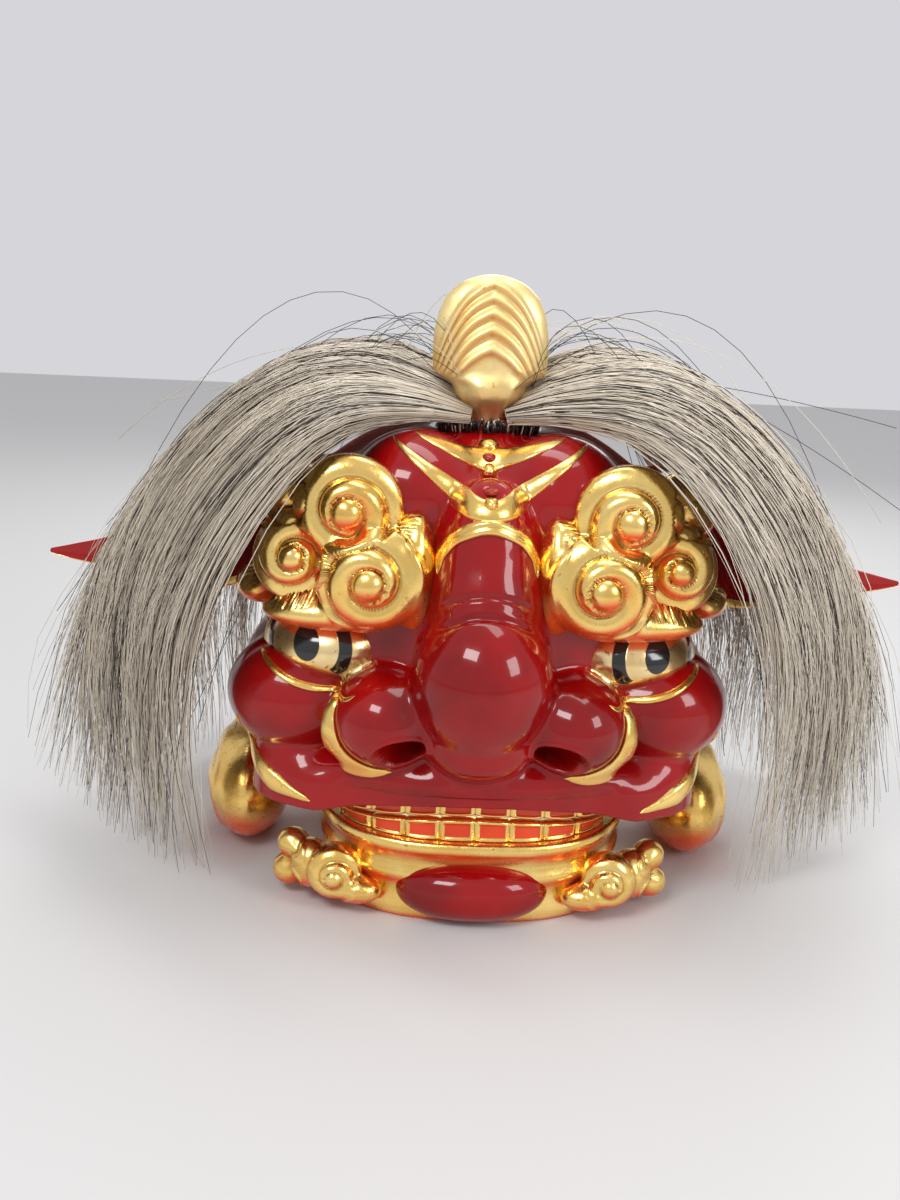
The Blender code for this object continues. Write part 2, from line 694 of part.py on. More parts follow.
def make_ear(side, sign, material, guard):
    """Flat ellipses from the root out to the tip, cupped forward along the middle."""
    count = 10
    turns = np.arange(count) * 2 * np.pi / count
    root = HALF_WIDTH - EAR_SINK
    length = EAR_LENGTH
    points = []
    for out, lower, upper, thickness in EAR_OUTLINE:
        middle = EAR_LOW + EAR_HEIGHT * (lower + upper) / 2
        half = EAR_HEIGHT * (upper - lower) / 2
        for turn in turns:
            cup = EAR_CUP * thickness * np.cos(turn)**2
            points.append((sign * (root + length * out),
                           EAR_BACK + EAR_THICK / 2 * thickness * np.sin(turn) - cup,
                           middle + half * np.cos(turn)))
    faces = [tuple(range(count))]
    for row in range(len(EAR_OUTLINE) - 1):
        faces += ring_faces(row * count, (row + 1) * count, count)
    tip = EAR_LOW + 0.15 * EAR_HEIGHT
    points.append((sign * (root + length), EAR_BACK, tip))
    last = len(points) - 1
    faces += [(last - count + i, last - count + (i + 1) % count, last) for i in range(count)]
    cut(make_object("ear_" + side, points, faces, material), guard)


def make_face_trim(side, sign, gold, skin):
    crescent = ((0.585, 0.446), (0.60, 0.402), (0.565, 0.352), (0.47, 0.308), (0.35, 0.306))
    widths = spread((0.0030, 0.0060, 0.0074, 0.0076, 0.0056, 0.0030), 11)
    make_band("nostril_trim_" + side, skin_places(crescent, 11, sign), widths, NOSTRIL_TRIM_RISE,
              (sign * 0.45, -0.85, -0.25), gold, skin)
    # the edge starts over the lip corner, so its heights count from there up to the crown
    low, tall = LIP_CORNER / CROWN_HEIGHT, 1 - LIP_CORNER / CROWN_HEIGHT
    edge = [(out, low + tall * up) for out, up in (
        (0.935, 0.1987), (0.915, 0.1410), (0.84, 0.0795), (0.73, 0.0385), (0.62, 0.0231))]
    widths = spread((0.0026, 0.0034, 0.0048, 0.0054, 0.0038, 0.0026), 11)
    make_band("cheek_edge_" + side, skin_places(edge, 11, sign), widths, CHEEK_EDGE_RISE,
              (sign * 0.70, -0.70, -0.15), gold, skin)


def make_cheek_curl(side, sign, material, guard):
    """A rounded curl behind the cheek, flat on the floor, whose socket holds the hinge rod."""
    half = np.array((CURL_WIDE, CURL_LONG, CURL_TALL)) / 2
    middle = np.array((sign * (HALF_WIDTH - CURL_INSET), CURL_BACK, CURL_TALL / 2 - SINK))
    points, faces = ball_points(middle, half, 9, 14)
    points[:, 2] = np.maximum(points[:, 2], 0.0)
    curl = make_object("cheek_curl_" + side, points, faces, material)
    cut(curl, guard)
    cut(curl, make_rod("rod_socket_" + side, GAP, None))


def jaw_route(inset, count):
    """The jaw's outline seen from above, inset: straight arms joined by a rounded front."""
    half = JAW_HALF_WIDTH - inset
    front = jaw_reach() - inset
    turns = np.linspace(0, np.pi, count)
    power = 2 / JAW_POWER
    across = -half * np.sign(np.cos(turns)) * np.abs(np.cos(turns))**power
    ahead = -front * np.abs(np.sin(turns))**power
    arms = np.array(((-half, JAW_BACK), (-half, JAW_BACK / 2)))
    curve = np.stack([across, ahead], axis=1)
    return np.concatenate([arms, curve, arms[::-1] * (-1, 1)])


# Section of the jaw: inset from its outline as a share of JAW_WALL, and height as a share of
# JAW_HEIGHT, from the inner foot round the outside to the inner top.
JAW_SECTION = (
    # inset, height
    (1.00, 0.00),
    (0.22, 0.00),
    (0.08, 0.10),
    (0.16, 0.42),
    (0.04, 0.76),
    (0.00, 0.88),
    (0.10, 1.00),
    (0.55, 0.98),
    (1.00, 0.90),
)


def jaw_solid(grow, deepen=1.0):
    """Points and faces of the jaw's frame, its section grown by a clearance and deepened."""
    count = JAW_STEPS
    middle = np.array((0.5, 0.5))
    sides = len(JAW_SECTION)
    rows = []
    for inset, height in JAW_SECTION:
        toward = np.sign(np.array((inset, height)) - middle)
        inward = inset * JAW_WALL * (deepen if inset == 1.0 else 1.0) + toward[0] * grow
        level = height * JAW_HEIGHT + toward[1] * grow
        flat = jaw_route(inward, count)
        rows.append(np.column_stack([flat, np.full(len(flat), level)]))
    points = np.stack(rows, axis=1).reshape(-1, 3)
    faces = []
    for row in range(len(points) // sides - 1):
        faces += ring_faces(row * sides, (row + 1) * sides, sides)
    faces += [tuple(range(sides)), tuple(range(len(points) - sides, len(points)))]
    return points, faces


def make_rod(name, grow, material):
    """The hinge rod, whose ends stand in the side walls, or with no material its cutter."""
    count = 12
    share = (ROD_BACK - CURL_BACK) / (CURL_LONG / 2)
    drop = (ROD_HEIGHT - CURL_TALL / 2 + SINK) / (CURL_TALL / 2)
    inside = HALF_WIDTH - CURL_INSET - CURL_WIDE / 2 * np.sqrt(1 - share**2 - drop**2)
    half_length = inside + ROD_SOCKET + grow
    radius = ROD_DIAMETER / 2 + grow
    turns = np.arange(count) * 2 * np.pi / count
    points = []
    for end in (-half_length, half_length):
        for turn in turns:
            points.append((end, ROD_BACK + radius * np.cos(turn), ROD_HEIGHT + radius * np.sin(turn)))
    faces = [tuple(range(count)), tuple(range(count, 2 * count)), *ring_faces(0, count, count)]
    if material:
        return make_object(name, points, faces, material)
    return make_cutter(name, points, faces)


def make_jaw(hinge, gold, red, gilt):
    points, faces = jaw_solid(0.0)
    frame = make_object("jaw_frame", points, faces, gold, hinge)
    cut(frame, make_rod("rod_bore", ROD_CLEARANCE, None))
    outline = jaw_route(JAW_WALL + GAP, JAW_STEPS)
    count = len(outline)
    points = []
    for level in (0.0, JAW_FLOOR):
        points += [(across, back, level) for across, back in outline]
    faces = [tuple(range(count)), tuple(range(count, 2 * count)), *ring_faces(0, count, count)]
    make_object("jaw_floor", points, faces, red, hinge)
    points, faces = jaw_solid(GAP, 2.0)
    guard = make_cutter("jaw_guard", points, faces)
    make_chin(hinge, red, guard)
    for side, sign in SIDES:
        make_jaw_scroll(side, sign, hinge, gold, guard)
    make_teeth("lower_teeth", lambda across: bite_height(across) - BITE_GAP,
               lambda across: np.full_like(across, JAW_HEIGHT + GAP), gilt, hinge)


def make_chin(hinge, red, guard):
    half = np.array((CHIN_HALF_WIDTH, CHIN_BULGE + 0.012, CHIN_HEIGHT / 2))
    middle = np.array((0.0, -jaw_reach() + 0.012, CHIN_HEIGHT / 2))
    points, faces = ball_points(middle, half, 8, 18)
    chin = make_object("chin", points, faces, red, hinge)
    cut(chin, guard)


# Lobes of a jaw scroll: place across, ahead and up, and half sizes, as shares of
# JAW_HALF_WIDTH, the jaw's reach and JAW_HEIGHT.
SCROLL_HEART = (0.93, -0.74, 0.44)
SCROLL_LOBES = (
    # across, ahead, up, half_x, half_y, half_z
    (0.83, 0.84, 0.47, 0.165, 0.13, 0.33),
    (0.68, 0.90, 0.30, 0.14, 0.09, 0.16),
    (1.10, 0.68, 0.66, 0.10, 0.09, 0.18),
    (1.12, 0.66, 0.30, 0.11, 0.10, 0.20),
    (0.98, 0.76, 0.48, 0.12, 0.12, 0.30),
)


def make_jaw_scroll(side, sign, hinge, material, guard):
    scale = np.array((JAW_HALF_WIDTH, jaw_reach(), JAW_HEIGHT))
    lobes = []
    for out, ahead, up, half_x, half_y, half_z in SCROLL_LOBES:
        lobes.append((np.array((sign * out, -ahead, up)) * scale,
                      np.array((half_x, half_y, half_z)) * scale))

    def field(points):
        return lobes_field(points, lobes)

    heart = np.array(SCROLL_HEART) * scale * (sign, 1, 1)
    count, rings = 16, 8
    angles = np.arange(count) * 2 * np.pi / count
    tilts = np.linspace(0, np.pi, rings + 2)[1:-1]
    rays = spoke_directions(angles[None, :], tilts[:, None])
    grid = heart + rays * ray_reach(heart, rays, field, 0.06)[..., None]
    ends = []
    for direction in (-1.0, 1.0):
        ray = np.array((0.0, direction, 0.0))
        ends.append(heart + ray * ray_reach(heart, ray, field, 0.06))
    points = np.array([ends[0], *grid.reshape(-1, 3), ends[1]])
    points[:, 2] = np.maximum(points[:, 2], 0.0)
    faces = patch_faces(0, rings, count)
    last = len(points) - 1
    faces += [(last - count + i, last - count + (i + 1) % count, last) for i in range(count)]
    cut(make_object("jaw_scroll_" + side, points, faces, material, hinge), guard)


def make_teeth(name, edge_of, seat_of, material, parent=None):
    """A row of teeth: each one bulges forward, narrows at its ends and is fused to the next."""
    steps = 3
    count = TOOTH_COUNT * steps + 1
    share = np.linspace(-1, 1, count)
    phase = np.arange(count) % steps / steps
    bulge = np.sin(np.pi * phase)**0.5
    half = JAW_HALF_WIDTH - TEETH_BACK
    front = jaw_reach() - TEETH_BACK
    across = share * TOOTH_SPAN
    ahead = -front * (1 - (np.abs(across) / half)**JAW_POWER)**(1 / JAW_POWER)
    route = np.column_stack([across, ahead, np.zeros(count)])
    along = unit(np.gradient(route, axis=0))
    inward = np.stack([-along[:, 1], along[:, 0], np.zeros(count)], axis=1)
    inward *= np.sign(inward[:, 1:2])
    seat = seat_of(across)
    edge = edge_of(across)
    toward = np.sign((edge - seat).mean())
    points = []
    for index in range(count):
        base, way = route[index], inward[index]
        dent = TOOTH_DENT * (1 - bulge[index])
        short = TOOTH_SHORT * (1 - bulge[index]) * -toward
        tip = edge[index] + short
        rise = tip - seat[index]
        for depth, level in ((dent, seat[index]), (dent - 0.0008, seat[index] + 0.55 * rise),
                             (dent + 0.0012, tip), (TEETH_THICK - 0.002, tip),
                             (TEETH_THICK, seat[index] + 0.5 * rise),
                             (TEETH_THICK, seat[index])):
            points.append(base + way * depth + (0.0, 0.0, level))
    faces = [tuple(range(6)), tuple(range(len(points) - 6, len(points)))]
    for row in range(count - 1):
        faces += ring_faces(row * 6, (row + 1) * 6, 6)
    return make_object(name, points, faces, material, parent)


def seat_roots(places):
    """Places on the crown straight under the given ones, sunk so that the cut seats them."""
    ways = unit(places - CENTRE)
    return CENTRE + ways * (outer_reach(ways)[:, None] - MANE_SINK)


def sheaf_solid(inner, outer, sign):
    """Locks side by side between a sheaf's two edges, joined down to the split and free below."""
    rows, split = 9, 5
    scale = np.array((MANE_SPAN, HEAD_BACK, CROWN_HEIGHT))
    first = smooth_route(inner, scale, rows)
    second = smooth_route(outer, scale, rows)
    columns = 2 * MANE_LOCKS + 1
    share = np.linspace(0, 1, columns)
    bow = np.sin(np.pi * share)[:, None, None] * np.sin(np.pi * np.linspace(0, 1, rows))[:, None]
    sheet = first + share[:, None, None] * (second - first)
    sheet = sheet + bow * np.array((0.012, 0.0, 0.010))
    sheet[:, 0] = seat_roots(sheet[:, 0])
    sheet *= (sign, 1, 1)
    out = unit(np.cross(np.gradient(sheet, axis=1), np.gradient(sheet, axis=0)))
    out *= np.sign((out * (sign, 0.0, 0.5)).sum())
    points, faces, known = [], [], {}

    def corner(lock, side, row):
        if side == 2 and row <= split and lock < MANE_LOCKS - 1:
            lock, side = lock + 1, 0
        if (lock, side, row) not in known:
            column = 2 * lock + side
            place, way = sheet[column, row], out[column, row]
            if side != 1 and row > split:
                left = (row - split) / (rows - 1 - split)
                place = place + (sheet[2 * lock + 1, row] - place) * min(0.18 + 0.7 * left, 0.9)
                way = out[2 * lock + 1, row]
            thin = 1 - 0.72 * (row / (rows - 1))**1.5
            ridge = (1.0 if side == 1 else 0.55) * MANE_THICK / 2 * thin
            known[lock, side, row] = len(points)
            points.extend([place + way * ridge, place - way * ridge])
        return known[lock, side, row]

    for lock in range(MANE_LOCKS):
        for row in range(rows - 1):
            for side in (0, 1):
                a, b = corner(lock, side, row), corner(lock, side + 1, row)
                c, d = corner(lock, side + 1, row + 1), corner(lock, side, row + 1)
                faces += [(a, b, c, d), (a + 1, d + 1, c + 1, b + 1)]
            if row >= split or lock == 0:
                a, d = corner(lock, 0, row), corner(lock, 0, row + 1)
                faces.append((a, d, d + 1, a + 1))
            if row >= split or lock == MANE_LOCKS - 1:
                b, c = corner(lock, 2, row), corner(lock, 2, row + 1)
                faces.append((b, b + 1, c + 1, c))
        for row in (0, rows - 1):
            for side in (0, 1):
                a, b = corner(lock, side, row), corner(lock, side + 1, row)
                faces.append((a, a + 1, b + 1, b))
    return points, faces


def make_mane(side, sign, material, guard):
    for name, inner, outer in (("front", FRONT_SHEAF_INNER, FRONT_SHEAF_OUTER),
                               ("rear", REAR_SHEAF_INNER, REAR_SHEAF_OUTER)):
        points, faces = sheaf_solid(inner, outer, sign)
        cut(make_object(f"mane_{name}_{side}", points, faces, material), guard)


def make_hinge():
    hinge = bpy.data.objects.new("jaw_hinge", None)
    hinge.location = (0.0, ROD_BACK, ROD_HEIGHT)
    bpy.context.scene.collection.objects.link(hinge)
    bpy.context.view_layer.update()
    return hinge


def main():
    clear_scene()
    red = make_material("red_lacquer", (0.35, 0.01, 0.015), 0.12, 0.0)
    gold = make_material("gold_leaf", (0.80, 0.56, 0.20), 0.25, 1.0)
    gilt = make_material("gilt_teeth", (0.78, 0.50, 0.18), 0.30, 1.0)
    wood = make_material("plain_wood", (0.45, 0.30, 0.17), 0.60, 0.0)
    hair = make_material("horsehair", (0.75, 0.70, 0.62), 0.55, 0.0)
    angles = skin_spokes(SKIN_SPOKES)
    skin = make_skin_guard(angles)
    guard = skin[0]
    make_head_shell(red, angles)
    make_forehead(gold, red, skin)
    make_crest(gold, guard)
    make_hair_root(hair, guard)
    for side, sign in SIDES:
        make_eye(side, sign, gold, guard)
        make_brow(side, sign, gold, (guard, make_eye_guard(side, sign)))
        make_face_trim(side, sign, gold, skin)
        make_cheek_curl(side, sign, gold, guard)
        make_ear(side, sign, red, guard)
        make_mane(side, sign, hair, guard)
    make_teeth("upper_teeth", bite_height, lambda across: rim_height(across) - LIP_GAP, gilt)
    make_rod("jaw_rod", 0.0, wood)
    make_jaw(make_hinge(), gold, red, gilt)


main()
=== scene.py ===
import math

import bpy
import numpy as np
from mathutils import Matrix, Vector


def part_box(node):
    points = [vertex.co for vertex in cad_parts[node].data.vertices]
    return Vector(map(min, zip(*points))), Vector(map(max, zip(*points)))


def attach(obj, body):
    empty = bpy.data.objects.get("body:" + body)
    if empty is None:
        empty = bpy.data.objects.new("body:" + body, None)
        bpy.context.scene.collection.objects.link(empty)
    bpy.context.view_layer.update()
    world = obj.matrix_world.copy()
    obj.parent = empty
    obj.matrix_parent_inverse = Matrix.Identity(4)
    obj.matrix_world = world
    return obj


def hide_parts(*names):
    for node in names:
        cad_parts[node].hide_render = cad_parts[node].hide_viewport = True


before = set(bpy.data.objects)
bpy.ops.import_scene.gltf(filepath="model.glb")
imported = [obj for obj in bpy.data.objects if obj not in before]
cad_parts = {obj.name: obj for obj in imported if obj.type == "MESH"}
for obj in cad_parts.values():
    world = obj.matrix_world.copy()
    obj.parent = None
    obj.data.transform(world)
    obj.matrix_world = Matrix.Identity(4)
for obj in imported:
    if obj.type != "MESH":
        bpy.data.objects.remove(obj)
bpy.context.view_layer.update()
rng = np.random.default_rng(7)
bothSides = ((-1, "left"), (1, "right"))
print("frame loaded:", len(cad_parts), "nodes")


# small helpers for arrays and meshes

def unit(vectors):
    return vectors / np.maximum(np.linalg.norm(vectors, axis=-1, keepdims=True), 1e-12)


def turnsOf(count):
    # angles evenly round a circle
    return np.arange(count) * 2 * np.pi / count


def smoothStep(value, low, high):
    # 0 before low, 1 after high, 3t^2 - 2t^3 between them
    t = np.clip((value - low) / (high - low), 0, 1)
    return t * t * (3 - 2 * t)


def smoothRoute(knots, count):
    # Catmull-Rom curve through the knots, read at count places evenly along its length
    knots = np.asarray(knots, float)
    padded = np.concatenate([[2 * knots[0] - knots[1]], knots, [2 * knots[-1] - knots[-2]]])
    t = np.linspace(0, 1, 16, endpoint=False)[:, None]
    parts = []
    for a, b, c, d in zip(padded[:-3], padded[1:-2], padded[2:-1], padded[3:]):
        parts.append(0.5 * (2 * b + (c - a) * t + (2 * a - 5 * b + 4 * c - d) * t**2
                            + (3 * b - a - 3 * c + d) * t**3))
    curve = np.concatenate(parts + [knots[-1:]])
    length = np.concatenate([[0], np.cumsum(np.linalg.norm(np.diff(curve, axis=0), axis=1))])
    places = np.linspace(0, length[-1], count)
    return np.stack([np.interp(places, length, curve[:, k]) for k in range(curve.shape[1])], axis=1)


def spread(values, count):
    return np.interp(np.linspace(0, 1, count), np.linspace(0, 1, len(values)), values)


def wrapQuads(rows, columns, first=0):
    # quads between rings of points that close on themselves, ring after ring
    row, column = np.meshgrid(np.arange(rows - 1), np.arange(columns), indexing="ij")
    after = (column + 1) % columns
    a = first + row * columns
    b = a + columns
    return np.stack([a + column, a + after, b + after, b + column], axis=-1).reshape(-1, 4)


def fan(centre, ring, columns):
    column = np.arange(columns)
    return np.stack([np.full(columns, centre), ring + (column + 1) % columns, ring + column], axis=-1)


def ballGrid(middle, half, rows, columns):
    # an ellipsoid, rows from its front pole to its rear pole
    tilt = np.linspace(0, np.pi, rows + 1)[1:-1][:, None]
    turn = turnsOf(columns)
    grid = np.stack(np.broadcast_arrays(np.sin(tilt) * np.cos(turn), -np.cos(tilt) + 0 * turn,
                                        np.sin(tilt) * np.sin(turn)), axis=-1)
    return np.asarray(middle) + grid * half, np.asarray(middle) + np.array([(0, -1, 0), (0, 1, 0)]) * half


def closeGrid(grid, poles):
    rows, columns = grid.shape[:2]
    points = np.concatenate([grid.reshape(-1, 3), poles])
    last = rows * columns
    tris = np.concatenate([fan(last, 0, columns), fan(last + 1, last - columns, columns)[:, ::-1]])
    return points, wrapQuads(rows, columns), tris


def ringEnds(grid):
    # the middles of the first and the last ring
    return np.stack([grid[0].mean(axis=0), grid[-1].mean(axis=0)])


def putMesh(name, points, quads, tris, materials, body, replaced=(), shade=None, finish=None):
    # whole arrays go into the mesh; a negative signed volume turns every face round
    # shade is one value a point, finish is each face's material number
    points = np.asarray(points, float).reshape(-1, 3)
    quads = np.asarray(quads, int).reshape(-1, 4)
    tris = np.asarray(tris, int).reshape(-1, 3)
    corners = np.concatenate([quads[:, :3], quads[:, [0, 2, 3]], tris])
    a, b, c = points[corners[:, 0]], points[corners[:, 1]], points[corners[:, 2]]
    if (a * np.cross(b, c)).sum() < 0:
        quads, tris = quads[:, ::-1], tris[:, ::-1]
    mesh = bpy.data.meshes.new(name)
    mesh.vertices.add(len(points))
    mesh.vertices.foreach_set("co", points.astype(np.float32).ravel())
    loops = np.concatenate([quads.ravel(), tris.ravel()]).astype(np.int32)
    starts = np.concatenate([np.arange(len(quads)) * 4, 4 * len(quads) + np.arange(len(tris)) * 3])
    mesh.loops.add(len(loops))
    mesh.loops.foreach_set("vertex_index", loops)
    mesh.polygons.add(len(starts))
    mesh.polygons.foreach_set("loop_start", starts.astype(np.int32))
    for material in materials:
        mesh.materials.append(material)
    if finish is not None:
        mesh.polygons.foreach_set("material_index", np.asarray(finish, np.int32))
    mesh.update(calc_edges=True)
    mesh.validate()
    mesh.shade_smooth()
    if shade is not None:
        attribute = mesh.attributes.new("shade", "FLOAT", "POINT")
        attribute.data.foreach_set("value", np.asarray(shade, np.float32))
    piece = bpy.data.objects.new(name, mesh)
    bpy.context.scene.collection.objects.link(piece)
    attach(piece, body)
    if replaced:
        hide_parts(*replaced)
    return piece


def gridNormals(grid):
    # cross product of the grid's two slopes, the second one wrapping round
    down = np.gradient(grid, axis=0)
    around = (np.roll(grid, -1, axis=1) - np.roll(grid, 1, axis=1)) / 2
    return unit(np.cross(around, down))


def outwardNormals(grid, outward):
    # all of them turned round together where they face against outward
    normals = gridNormals(grid)
    return normals * np.sign((normals * outward).sum())


# materials

def nodeMaker(name):
    material = bpy.data.materials.new(name)
    material.use_nodes = True
    tree = material.node_tree
    shader = tree.nodes["Principled BSDF"]

    def add(kind, inputs=None, **values):
        node = tree.nodes.new(kind)
        for key, value in values.items():
            setattr(node, key, value)
        for key, value in (inputs or {}).items():
            if isinstance(value, bpy.types.NodeSocket):
                tree.links.new(value, node.inputs[key])
            else:
                node.inputs[key].default_value = value
        return node

    def link(source, target):
        tree.links.new(source, target)

    return material, shader, add, link


def rampOf(add, factor, stops):
    ramp = add("ShaderNodeValToRGB", {"Fac": factor})
    elements = ramp.color_ramp.elements
    while len(elements) < len(stops):
        elements.new(0.5)
    for element, (place, colour) in zip(elements, stops):
        element.position = place
        element.color = (*colour, 1)
    return ramp.outputs["Color"]


def mixOf(add, factor, first, second):
    mix = add("ShaderNodeMix", data_type="RGBA")
    for key, value in ((0, factor), (6, first), (7, second)):
        if isinstance(value, bpy.types.NodeSocket):
            mix.id_data.links.new(value, mix.inputs[key])
        else:
            mix.inputs[key].default_value = value if key == 0 else (*value, 1)
    return mix.outputs[2]


def rangeOf(add, value, low, high, toLow=0.0, toHigh=1.0):
    node = add("ShaderNodeMapRange", {"Value": value, "From Min": low, "From Max": high,
                                      "To Min": toLow, "To Max": toHigh})
    return node.outputs["Result"]


def mathOf(add, operation, first, other):
    return add("ShaderNodeMath", {0: first, 1: other}, operation=operation).outputs[0]


def bumpOf(add, height, strength, distance, normal=None):
    inputs = {"Strength": strength, "Distance": distance, "Height": height}
    if normal is not None:
        inputs["Normal"] = normal
    return add("ShaderNodeBump", inputs).outputs["Normal"]


def noiseOf(add, place, scale, detail=3.0, roughness=0.55):
    return add("ShaderNodeTexNoise", {"Vector": place, "Scale": scale, "Detail": detail,
                                      "Roughness": roughness}).outputs["Fac"]


lacquerSettings = {"deep": (0.17, 0.0008, 0.0014), "middle": (0.27, 0.0014, 0.0022),
                   "light": (0.37, 0.0030, 0.0040), "edge": (0.34, 0.012, 0.006),
                   "ripple": 0.04, "coat": 0.62}


def makeLacquer(name, settings):
    # crimson mottled by a noise, a lighter worn tone on the ridges, a clear coat with slow ripples
    material, shader, add, link = nodeMaker(name)
    place = add("ShaderNodeTexCoord").outputs["Object"]
    slow = noiseOf(add, place, 14.0)
    fine = noiseOf(add, place, 160.0, 4.0)
    colour = rampOf(add, slow, [(0.30, settings["deep"]), (0.50, settings["middle"]),
                                (0.75, settings["light"])])
    ridge = rangeOf(add, add("ShaderNodeNewGeometry").outputs["Pointiness"], 0.515, 0.56)
    worn = mathOf(add, "MULTIPLY", ridge, rangeOf(add, fine, 0.45, 0.62))
    colour = mixOf(add, worn, colour, settings["edge"])
    link(colour, shader.inputs["Base Color"])
    link(rangeOf(add, fine, 0.3, 0.7, 0.14, 0.26), shader.inputs["Roughness"])
    shader.inputs["Coat Weight"].default_value = settings["coat"]
    shader.inputs["Coat Roughness"].default_value = 0.035
    shader.inputs["Specular IOR Level"].default_value = 0.12
    ripple = bumpOf(add, noiseOf(add, place, 38.0, 2.0), settings["ripple"], 0.004)
    link(bumpOf(add, fine, 0.03, 0.0006, ripple), shader.inputs["Normal"])
    link(ripple, shader.inputs["Coat Normal"])
    return material


# the vermilion colour and the under strength give a painted red reflection on gold that faces down
goldSettings = {"light": (1.0, 0.72, 0.24), "middle": (0.88, 0.53, 0.12), "brown": (0.36, 0.15, 0.028),
                "redReflection": (0.85, 0.085, 0.012), "roughness": (0.15, 0.32), "under": 0.95}


def makeGold(name, settings, redReflection=1.0):
    # leaf in squares with fine wrinkles, painted shade in brown in the hollows, a painted red reflection on
    # what faces down
    material, shader, add, link = nodeMaker(name)
    texture = add("ShaderNodeTexCoord")
    place = texture.outputs["Object"]
    slow = noiseOf(add, place, 26.0)
    fine = noiseOf(add, place, 210.0, 5.0, 0.65)
    leaf = add("ShaderNodeTexVoronoi", {"Vector": place, "Scale": 62.0, "Randomness": 0.7},
               distance="CHEBYCHEV")
    colour = rampOf(add, slow, [(0.32, settings["middle"]), (0.62, settings["light"])])
    tone = rangeOf(add, leaf.outputs["Distance"], 0.0, 0.9, 0.0, 0.22)
    colour = mixOf(add, tone, colour, settings["middle"])
    # painted shade: concave places, found by pointiness, are mixed to brown
    hollowShade = rangeOf(add, add("ShaderNodeNewGeometry").outputs["Pointiness"], 0.495, 0.43)
    colour = mixOf(add, hollowShade, colour, settings["brown"])
    specks = rangeOf(add, fine, 0.64, 0.72)
    colour = mixOf(add, specks, colour, settings["brown"])
    # painted red reflection: gold that faces down is mixed to vermilion and made less metallic
    facing = add("ShaderNodeSeparateXYZ", {"Vector": texture.outputs["Normal"]}).outputs["Z"]
    wander = mathOf(add, "ADD", facing, rangeOf(add, slow, 0.3, 0.7, -0.12, 0.12))
    under = rangeOf(add, wander, -0.10, -0.50, 0.0, settings["under"] * redReflection)
    colour = mixOf(add, under, colour, settings["redReflection"])
    link(colour, shader.inputs["Base Color"])
    link(rangeOf(add, under, 0.0, 1.0, 1.0, 0.25), shader.inputs["Metallic"])
    link(rangeOf(add, fine, 0.3, 0.7, *settings["roughness"]), shader.inputs["Roughness"])
    shader.inputs["Coat Weight"].default_value = 0.25
    shader.inputs["Coat Roughness"].default_value = 0.08
    wrinkle = bumpOf(add, fine, 0.16, 0.0012)
    link(bumpOf(add, leaf.outputs["Distance"], 0.10, 0.0008, wrinkle), shader.inputs["Normal"])
    return material


woodSettings = {"light": (0.36, 0.22, 0.11), "dark": (0.25, 0.145, 0.07), "roughness": 0.55}


def makeWood(name, settings):
    # a stretched, distorted wave for the grain and a fine noise for its height
    material, shader, add, link = nodeMaker(name)
    place = add("ShaderNodeMapping", {"Vector": add("ShaderNodeTexCoord").outputs["Object"],
                                      "Scale": (1.0, 0.12, 1.0)}).outputs["Vector"]
    grain = add("ShaderNodeTexWave", {"Vector": place, "Scale": 150.0, "Distortion": 3.0,
                                      "Detail": 3.0}).outputs["Fac"]
    fine = noiseOf(add, place, 420.0)
    link(rampOf(add, grain, [(0.2, settings["dark"]), (0.8, settings["light"])]),
         shader.inputs["Base Color"])
    shader.inputs["Roughness"].default_value = settings["roughness"]
    link(bumpOf(add, fine, 0.25, 0.0008), shader.inputs["Normal"])
    return material


hairSettings = {"pale": (0.76, 0.68, 0.56), "grey": (0.47, 0.40, 0.315), "dark": (0.030, 0.020, 0.018)}


def makeHair(name, settings):
    # each strand's own shade, from dark at 0 to pale at 1, with a slow change of tone along the mane
    material, shader, add, link = nodeMaker(name)
    shade = add("ShaderNodeAttribute", attribute_name="shade").outputs["Fac"]
    place = add("ShaderNodeTexCoord").outputs["Object"]
    slow = noiseOf(add, place, 22.0)
    colour = rampOf(add, shade, [(0.10, settings["dark"]), (0.22, settings["grey"]),
                                 (0.60, settings["pale"])])
    colour = mixOf(add, rangeOf(add, slow, 0.40, 0.75, 0.0, 0.35), colour, settings["grey"])
    dark = rangeOf(add, shade, 0.20, 0.10)
    colour = mixOf(add, dark, colour, settings["dark"])
    link(colour, shader.inputs["Base Color"])
    link(rangeOf(add, slow, 0.3, 0.7, 0.34, 0.50), shader.inputs["Roughness"])
    shader.inputs["Specular IOR Level"].default_value = 0.5
    return material


paintSettings = {"black": (0.008, 0.007, 0.007), "mouth": (0.06, 0.006, 0.006)}


def makePaint(name, colour, roughness):
    # a brushed coat: fine noise in its tone and its height
    material, shader, add, link = nodeMaker(name)
    fine = noiseOf(add, add("ShaderNodeTexCoord").outputs["Object"], 180.0, 4.0)
    lighter = tuple(min(1.0, 2.2 * c + 0.004) for c in colour)
    link(rampOf(add, fine, [(0.35, colour), (0.75, lighter)]), shader.inputs["Base Color"])
    link(rangeOf(add, fine, 0.3, 0.7, roughness * 0.8, roughness * 1.3), shader.inputs["Roughness"])
    link(bumpOf(add, fine, 0.12, 0.0005), shader.inputs["Normal"])
    return material


